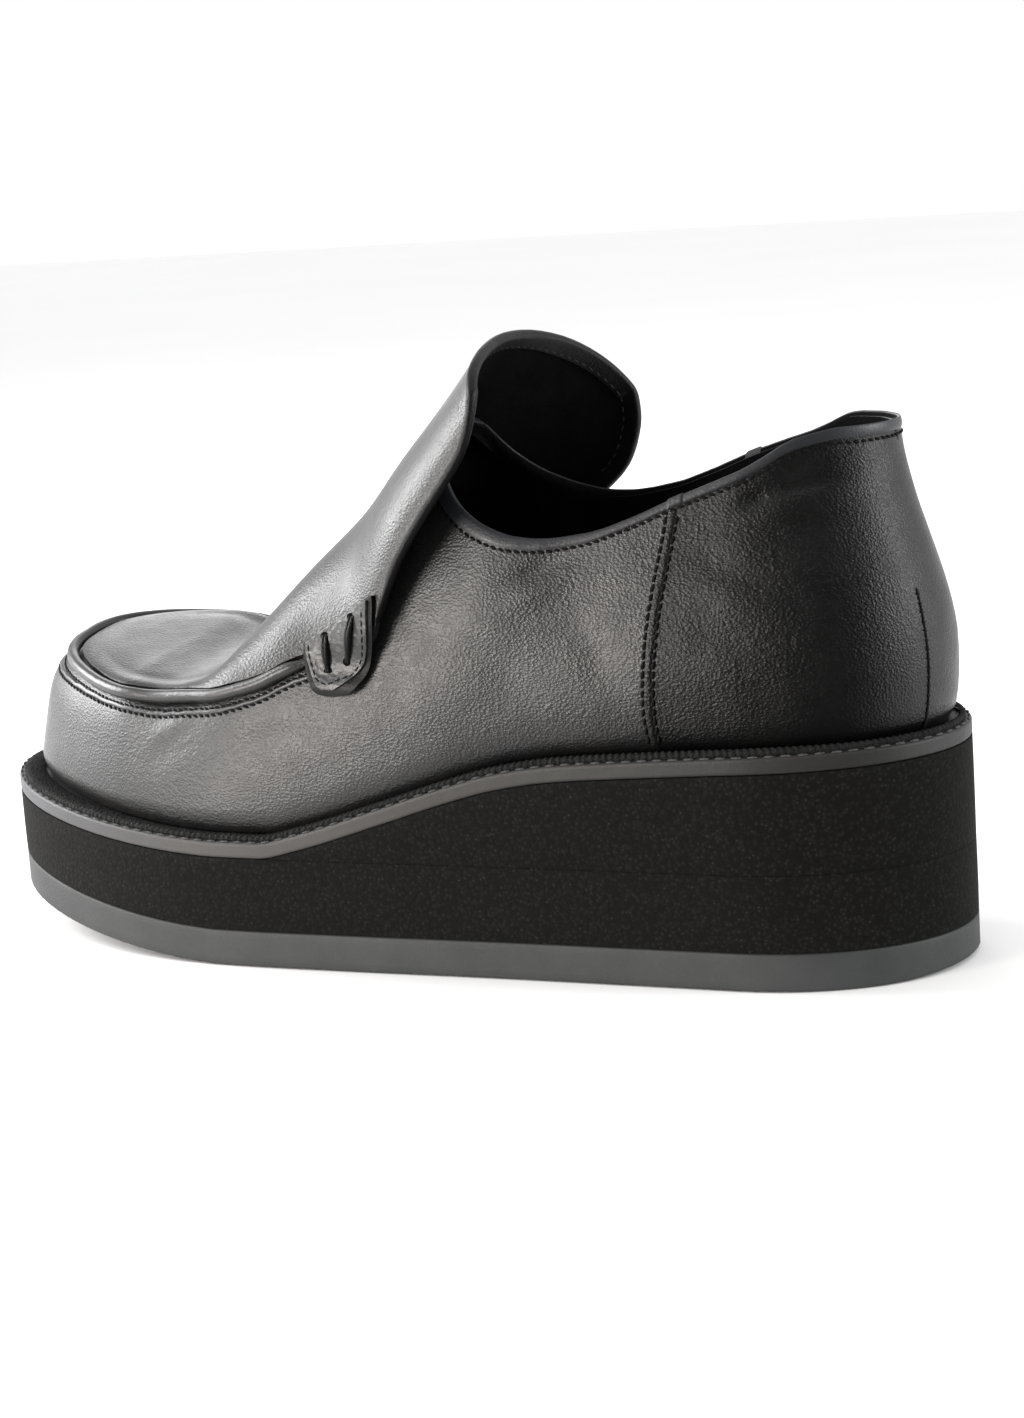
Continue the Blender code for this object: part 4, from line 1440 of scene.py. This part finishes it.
@functools.cache
def laid_depths(side):
    """How far each place of a tab goes in until it lies on the leather under it."""
    bpy.context.view_layer.update()
    depsgraph = bpy.context.evaluated_depsgraph_get()
    leathers = [BVHTree.FromObject(bpy.data.objects[name], depsgraph)
                for name in LEATHER_UNDER_TABS]
    way = lay_way(side)
    under = []
    for row in range(LAID_ROWS + 1):
        line = []
        for column in range(LAID_COLUMNS + 1):
            place = cut_tab_place(side, LAID_FRONT + column * LAID_SPACING,
                                  LAID_FOOT + row * LAID_SPACING)
            met = [leather.ray_cast(place - way * LAID_REACH, way)[3] for leather in leathers]
            met = [far for far in met if far is not None]
            line.append(min(met) - LAID_REACH - LAID_AIR if met else 0.0)
        under.append(line)
    depths = [line[:] for line in under]
    for turn in range(LAID_ROUNDS + LAID_SOFTENING):
        before = [line[:] for line in depths]
        for row in range(LAID_ROWS + 1):
            for column in range(LAID_COLUMNS + 1):
                near = [before[min(row + 1, LAID_ROWS)][column], before[max(row - 1, 0)][column],
                        before[row][min(column + 1, LAID_COLUMNS)],
                        before[row][max(column - 1, 0)]]
                depths[row][column] = sum(near) / 4
                if turn < LAID_ROUNDS:
                    depths[row][column] = min(under[row][column], depths[row][column])
    return depths


def laid_place(side, y, z):
    """Place on the underside of a tab that lies on the flap, the roll's end and the quarter."""
    depths = laid_depths(side)
    column = min(max((y - LAID_FRONT) / LAID_SPACING, 0.0), LAID_COLUMNS - 0.001)
    row = min(max((z - LAID_FOOT) / LAID_SPACING, 0.0), LAID_ROWS - 0.001)
    left, low = int(column), int(row)
    across, up = column - left, row - low
    foot = depths[low][left] * (1 - across) + depths[low][left + 1] * across
    head = depths[low + 1][left] * (1 - across) + depths[low + 1][left + 1] * across
    depth = foot * (1 - up) + head * up
    return cut_tab_place(side, y, z) + lay_way(side) * depth


def tab_place(side, y, z, rise):
    """Place on a tab, rise above its underside."""
    step = LAID_SLOPE
    along = laid_place(side, y + step, z) - laid_place(side, y - step, z)
    upwards = laid_place(side, y, z + step) - laid_place(side, y, z - step)
    out = along.cross(upwards).normalized()
    if out.dot(lay_way(side)) > 0:
        out = -out
    return laid_place(side, y, z) + out * rise


def add_tab_layer(name, side, table, low, high, bevel, material, nodes=()):
    """One leather layer of a tab: its outline by height, from low to high off the flap."""
    rows, columns = 34, 20
    foot, top = table[0][0], table[-1][0]

    def place(column, row):
        share = row / rows
        z = foot + (top - foot) * (share - 0.10 * math.sin(2 * math.pi * share))
        front, back = follow(table, 1, z), follow(table, 2, z)
        return tab_place(side, (front + (back - front) * column / columns) * MM, z * MM, low)

    bm = grid(columns, rows, place)
    piece = finish(name, bm, [material], nodes, outward=False)
    if piece.data.polygons[200].normal.x * side < 0:
        piece.data.flip_normals()
    return thicken(piece, high - low, 1, bevel=bevel)


def tab_stitch_line(side):
    """Stitches just inside the front, foot and back of the patch."""
    inner = 0.95
    front = [(follow(PATCH, 1, z) + inner, z) for z in (83.2, 81, 79, 77, 75.4, 74.4)]
    foot = [(-12.6, 73.4), (-10.6, 73.3), (-8.2, 74.0)]
    back = [(follow(PATCH, 2, z) - inner, z) for z in (75.4, 76.6, 78.4, 81, 85, 89, 92.6)]
    path = smooth_path([(y * MM, z * MM, 0.0) for y, z in front + foot + back], 0.6 * MM)
    return [tab_place(side, y, z, PATCH_TOP + 0.02 * MM) for y, z, _ in path]


def make_tabs(looks):
    """Corner of the flap with its turned black edge, the patch sewn on it, and its thongs."""
    lines = []
    for side, label in SIDES:
        add_tab_layer("tab_edge_" + label, side, TURNED_CORNER, 0.0, PATCH_FOOT, 0.55 * MM,
                      looks["edge"])
        add_tab_layer("tab_patch_" + label, side, PATCH, PATCH_FOOT - 0.3 * MM, PATCH_TOP,
                      0.4 * MM, looks["tab"], ["tab_" + label])
        lines.append((tab_stitch_line(side), sideways(side)))
        make_thongs(label, side, looks)
    stitches("tab_stitches", lines, 2.1 * MM, 1.7 * MM, 0.5 * MM, looks["thread"])


def make_thongs(label, side, looks):
    """Two thick whip-stitches on a tab, and a near-black disc of painted shade at each hole that
    they sink into.
    """
    strands = bmesh.new()
    hole_shades = bmesh.new()
    for (y0, z0), (y1, z1) in THONGS:
        count = 9
        for strand in (-1, 1):
            path = []
            for n in range(count + 1):
                t = n / count
                twist = strand * 0.42 * math.cos(2.2 * t)
                rise = PATCH_TOP + (0.75 * math.sin(math.pi * t) - 0.15) * MM
                path.append(tab_place(side, (y0 + (y1 - y0) * t + twist) * MM,
                                      (z0 + (z1 - z0) * t) * MM, rise))
            for n in range(1, count):
                way = path[n + 1] - path[n - 1]
                size = (0.50 + 0.38 * math.sin(math.pi * n / count)) * MM
                add_bead(strands, path[n], way, (side, 0, 0), way.length * 0.85, size, size,
                         sides=10, rings=6)
        # A flat near-black disc at each hole: painted shade.
        for y, z in ((y0, z0), (y1, z1)):
            add_bead(hole_shades, tab_place(side, y * MM, z * MM, PATCH_TOP), (0, 1, 0), (side, 0, 0),
                     1.25 * MM, 1.15 * MM, 0.12 * MM, sides=12, rings=8)
    finish("whip_stitch_" + label, strands, [looks["thong"]], sharp=180)
    finish("whip_holes_" + label, hole_shades, [looks["lining"]], sharp=180)


# The studio


# Lights: name, place, what it points at, size, power, colour
WHITE = (1.0, 1.0, 1.0)
LIGHTS = [
    ("toe_front", (0.1, -1.2, 0.55), (0.02, -0.02, 0.08), 0.8, 22.0, WHITE),
    ("toe_side", (1.1, -0.65, 0.22), (0.03, 0.03, 0.08), 0.45, 13.0, (1.0, 0.94, 0.89)),
    ("heel_side", (-0.2, 1.2, 0.4), (0.0, 0.12, 0.09), 0.4, 7.0, WHITE),
    ("far_side", (-1.1, -0.7, 0.5), (0.0, -0.06, 0.07), 0.6, 2.5, WHITE),
]


def add_light(name, place, target, size, power, colour):
    lamp = bpy.data.lights.new(name, "AREA")
    lamp.shape = "DISK"
    lamp.size = size
    lamp.energy = power
    lamp.color = colour
    light = bpy.data.objects.new(name, lamp)
    light.location = place
    light.rotation_euler = (Vector(target) - Vector(place)).to_track_quat("-Z", "Y").to_euler()
    link(light)


CARD_NEAR = 78 * MM
CARD_FAR = 900 * MM
CARD_HEIGHT = 1500 * MM
CARD_MIDDLE = 70 * MM
CARD_FLAT = 0.6
CARD_TURN = (28, 46)
CAMERA_AZIMUTH = 117.7
CAMERA_ELEVATION = 11.9
CAMERA_ROLL = -4.3
CAMERA_DISTANCE = 760 * MM
CAMERA_TARGET = (0.0, 0.0, 50 * MM)
FOCAL_PIXELS = 2924.0
IMAGE_SIZE = (1024, 1418)
IMAGE_CENTRE = (460.5, 738.7)
SENSOR = 36.0


def make_camera():
    azimuth = math.radians(CAMERA_AZIMUTH)
    elevation = math.radians(CAMERA_ELEVATION)
    roll = math.radians(CAMERA_ROLL)
    back = Vector((math.sin(azimuth) * math.cos(elevation),
                   -math.cos(azimuth) * math.cos(elevation), math.sin(elevation)))
    right = (-back).cross(Vector((0, 0, 1))).normalized()
    up = right.cross(-back).normalized()
    turned_right = right * math.cos(roll) + up * math.sin(roll)
    turned_up = up * math.cos(roll) - right * math.sin(roll)
    lens = bpy.data.cameras.new("camera")
    lens.sensor_width = SENSOR
    lens.sensor_fit = "AUTO"
    longest = max(IMAGE_SIZE)
    lens.lens = FOCAL_PIXELS / longest * SENSOR
    lens.shift_x = (IMAGE_SIZE[0] / 2 - IMAGE_CENTRE[0]) / longest
    lens.shift_y = (IMAGE_CENTRE[1] - IMAGE_SIZE[1] / 2) / longest
    lens.clip_start = 0.01
    camera = bpy.data.objects.new("camera", lens)
    pose = Matrix((turned_right, turned_up, back)).transposed().to_4x4()
    pose.translation = Vector(CAMERA_TARGET) + back * CAMERA_DISTANCE
    camera.matrix_world = pose
    link(camera)
    bpy.context.scene.camera = camera


def make_floor():
    bm = bmesh.new()
    bmesh.ops.create_grid(bm, x_segments=8, y_segments=8, size=4.0)
    mesh = bpy.data.meshes.new("floor")
    bm.to_mesh(mesh)
    bm.free()
    mesh.materials.append(pale_floor("pale_floor"))
    floor = bpy.data.objects.new("floor", mesh)
    floor.location = (0, 0, -0.0002)
    link(floor)


def make_dark_card():
    """Dark card beside the heel, seen only in reflections, that keeps the rear quarter black."""
    bm = bmesh.new()
    bmesh.ops.create_grid(bm, x_segments=24, y_segments=12, size=1.0)
    for vert in bm.verts:
        angle = math.radians(CARD_TURN[0] + CARD_TURN[1] * vert.co.x)
        run = (vert.co.y + 1) / 2
        reach = CARD_NEAR + (CARD_FAR - CARD_NEAR) * min(run / CARD_FLAT, 1.0)
        height = 1 * MM + CARD_HEIGHT * max(run - CARD_FLAT, 0.0) / 0.4
        vert.co = (reach * math.cos(angle), CARD_MIDDLE + reach * math.sin(angle), height)
    mesh = bpy.data.meshes.new("dark_card")
    bm.to_mesh(mesh)
    bm.free()
    mesh.materials.append(blank("card_black", (0.004, 0.004, 0.004), 1.0, level=0.0)[0])
    card = bpy.data.objects.new("dark_card", mesh)
    link(card)
    card.visible_camera = False
    card.visible_diffuse = False
    card.visible_shadow = False
    card.visible_transmission = False


def make_studio():
    world = bpy.data.worlds.new("soft_studio")
    world.use_nodes = True
    background = world.node_tree.nodes["Background"]
    background.inputs["Color"].default_value = (1.0, 1.0, 1.0, 1.0)
    background.inputs["Strength"].default_value = 1.0
    bpy.context.scene.world = world
    bpy.context.scene.view_settings.view_transform = "Standard"
    make_dark_card()
    for light in LIGHTS:
        add_light(*light)


def main():
    make_camera()
    looks = {
        "leather": leather("smooth_black_leather", (0.005, 0.005, 0.0055), (0.010, 0.0095, 0.009)),
        "leather_smooth": leather("seam_leather", (0.005, 0.005, 0.0055), (0.009, 0.009, 0.009),
                                  depth=0.05 * MM, wrinkle=0.05 * MM, coat=0.2),
        # Darker, less glossy copy of the leather for the rear quarter and the side seam strips:
        # painted shade.
        "heel_leather": leather("heel_leather", (0.0028, 0.0028, 0.003), (0.0048, 0.0047, 0.0046),
                                coat=0.05, level=0.34, depth=0.13 * MM),
        "edge": leather("turned_edge_leather", (0.0025, 0.0025, 0.003), (0.004, 0.004, 0.0045),
                        depth=0.07 * MM, wrinkle=0.03 * MM, rough=(0.42, 0.56), coat=0.0,
                        level=0.25),
        "tab": leather("cracked_tab_leather", (0.014, 0.014, 0.0145), (0.024, 0.024, 0.024),
                       grain=1.3 * MM, depth=0.16 * MM, wrinkle=0.15 * MM),
        "binding": leather("dark_binding_leather", (0.010, 0.011, 0.014), (0.015, 0.016, 0.019),
                           depth=0.05 * MM, wrinkle=0.05 * MM, rough=(0.40, 0.52), coat=0.1),
        "lining": cloth_lining("black_lining"),
        "welt": leather("black_welt", (0.0025, 0.0025, 0.0025), (0.012, 0.012, 0.012),
                        grain=0.45 * MM, depth=0.30 * MM, wrinkle=0.05 * MM, rough=(0.65, 0.85),
                        coat=0.0, level=0.25, patch=1.2 * MM),
        "thread": thread("black_thread", (0.0015, 0.0015, 0.0015), 0.75),
        "thong": thread("black_thong", (0.002, 0.002, 0.002), 0.5),
        # Dark grey thread, lighter than the black thread, for the stitches inside the flap's edge.
        "worn_thread": thread("worn_thread", (0.020, 0.020, 0.020), 0.7),
        "pale_thread": thread("grey_thread", (0.04, 0.04, 0.04)),
        "rim": rim_grey_with_painted_shade("grey_rim"),
        "foam": foam("speckled_black_foam"),
        "rubber": rubber("grey_rubber"),
    }
    for make in (make_sole, make_welt, make_sock, make_upper, make_side_seams, make_heel_seam,
                 make_binding, make_apron, make_flap_edge, make_roll, make_tabs):
        make(looks)
    make_floor()
    make_studio()


main()
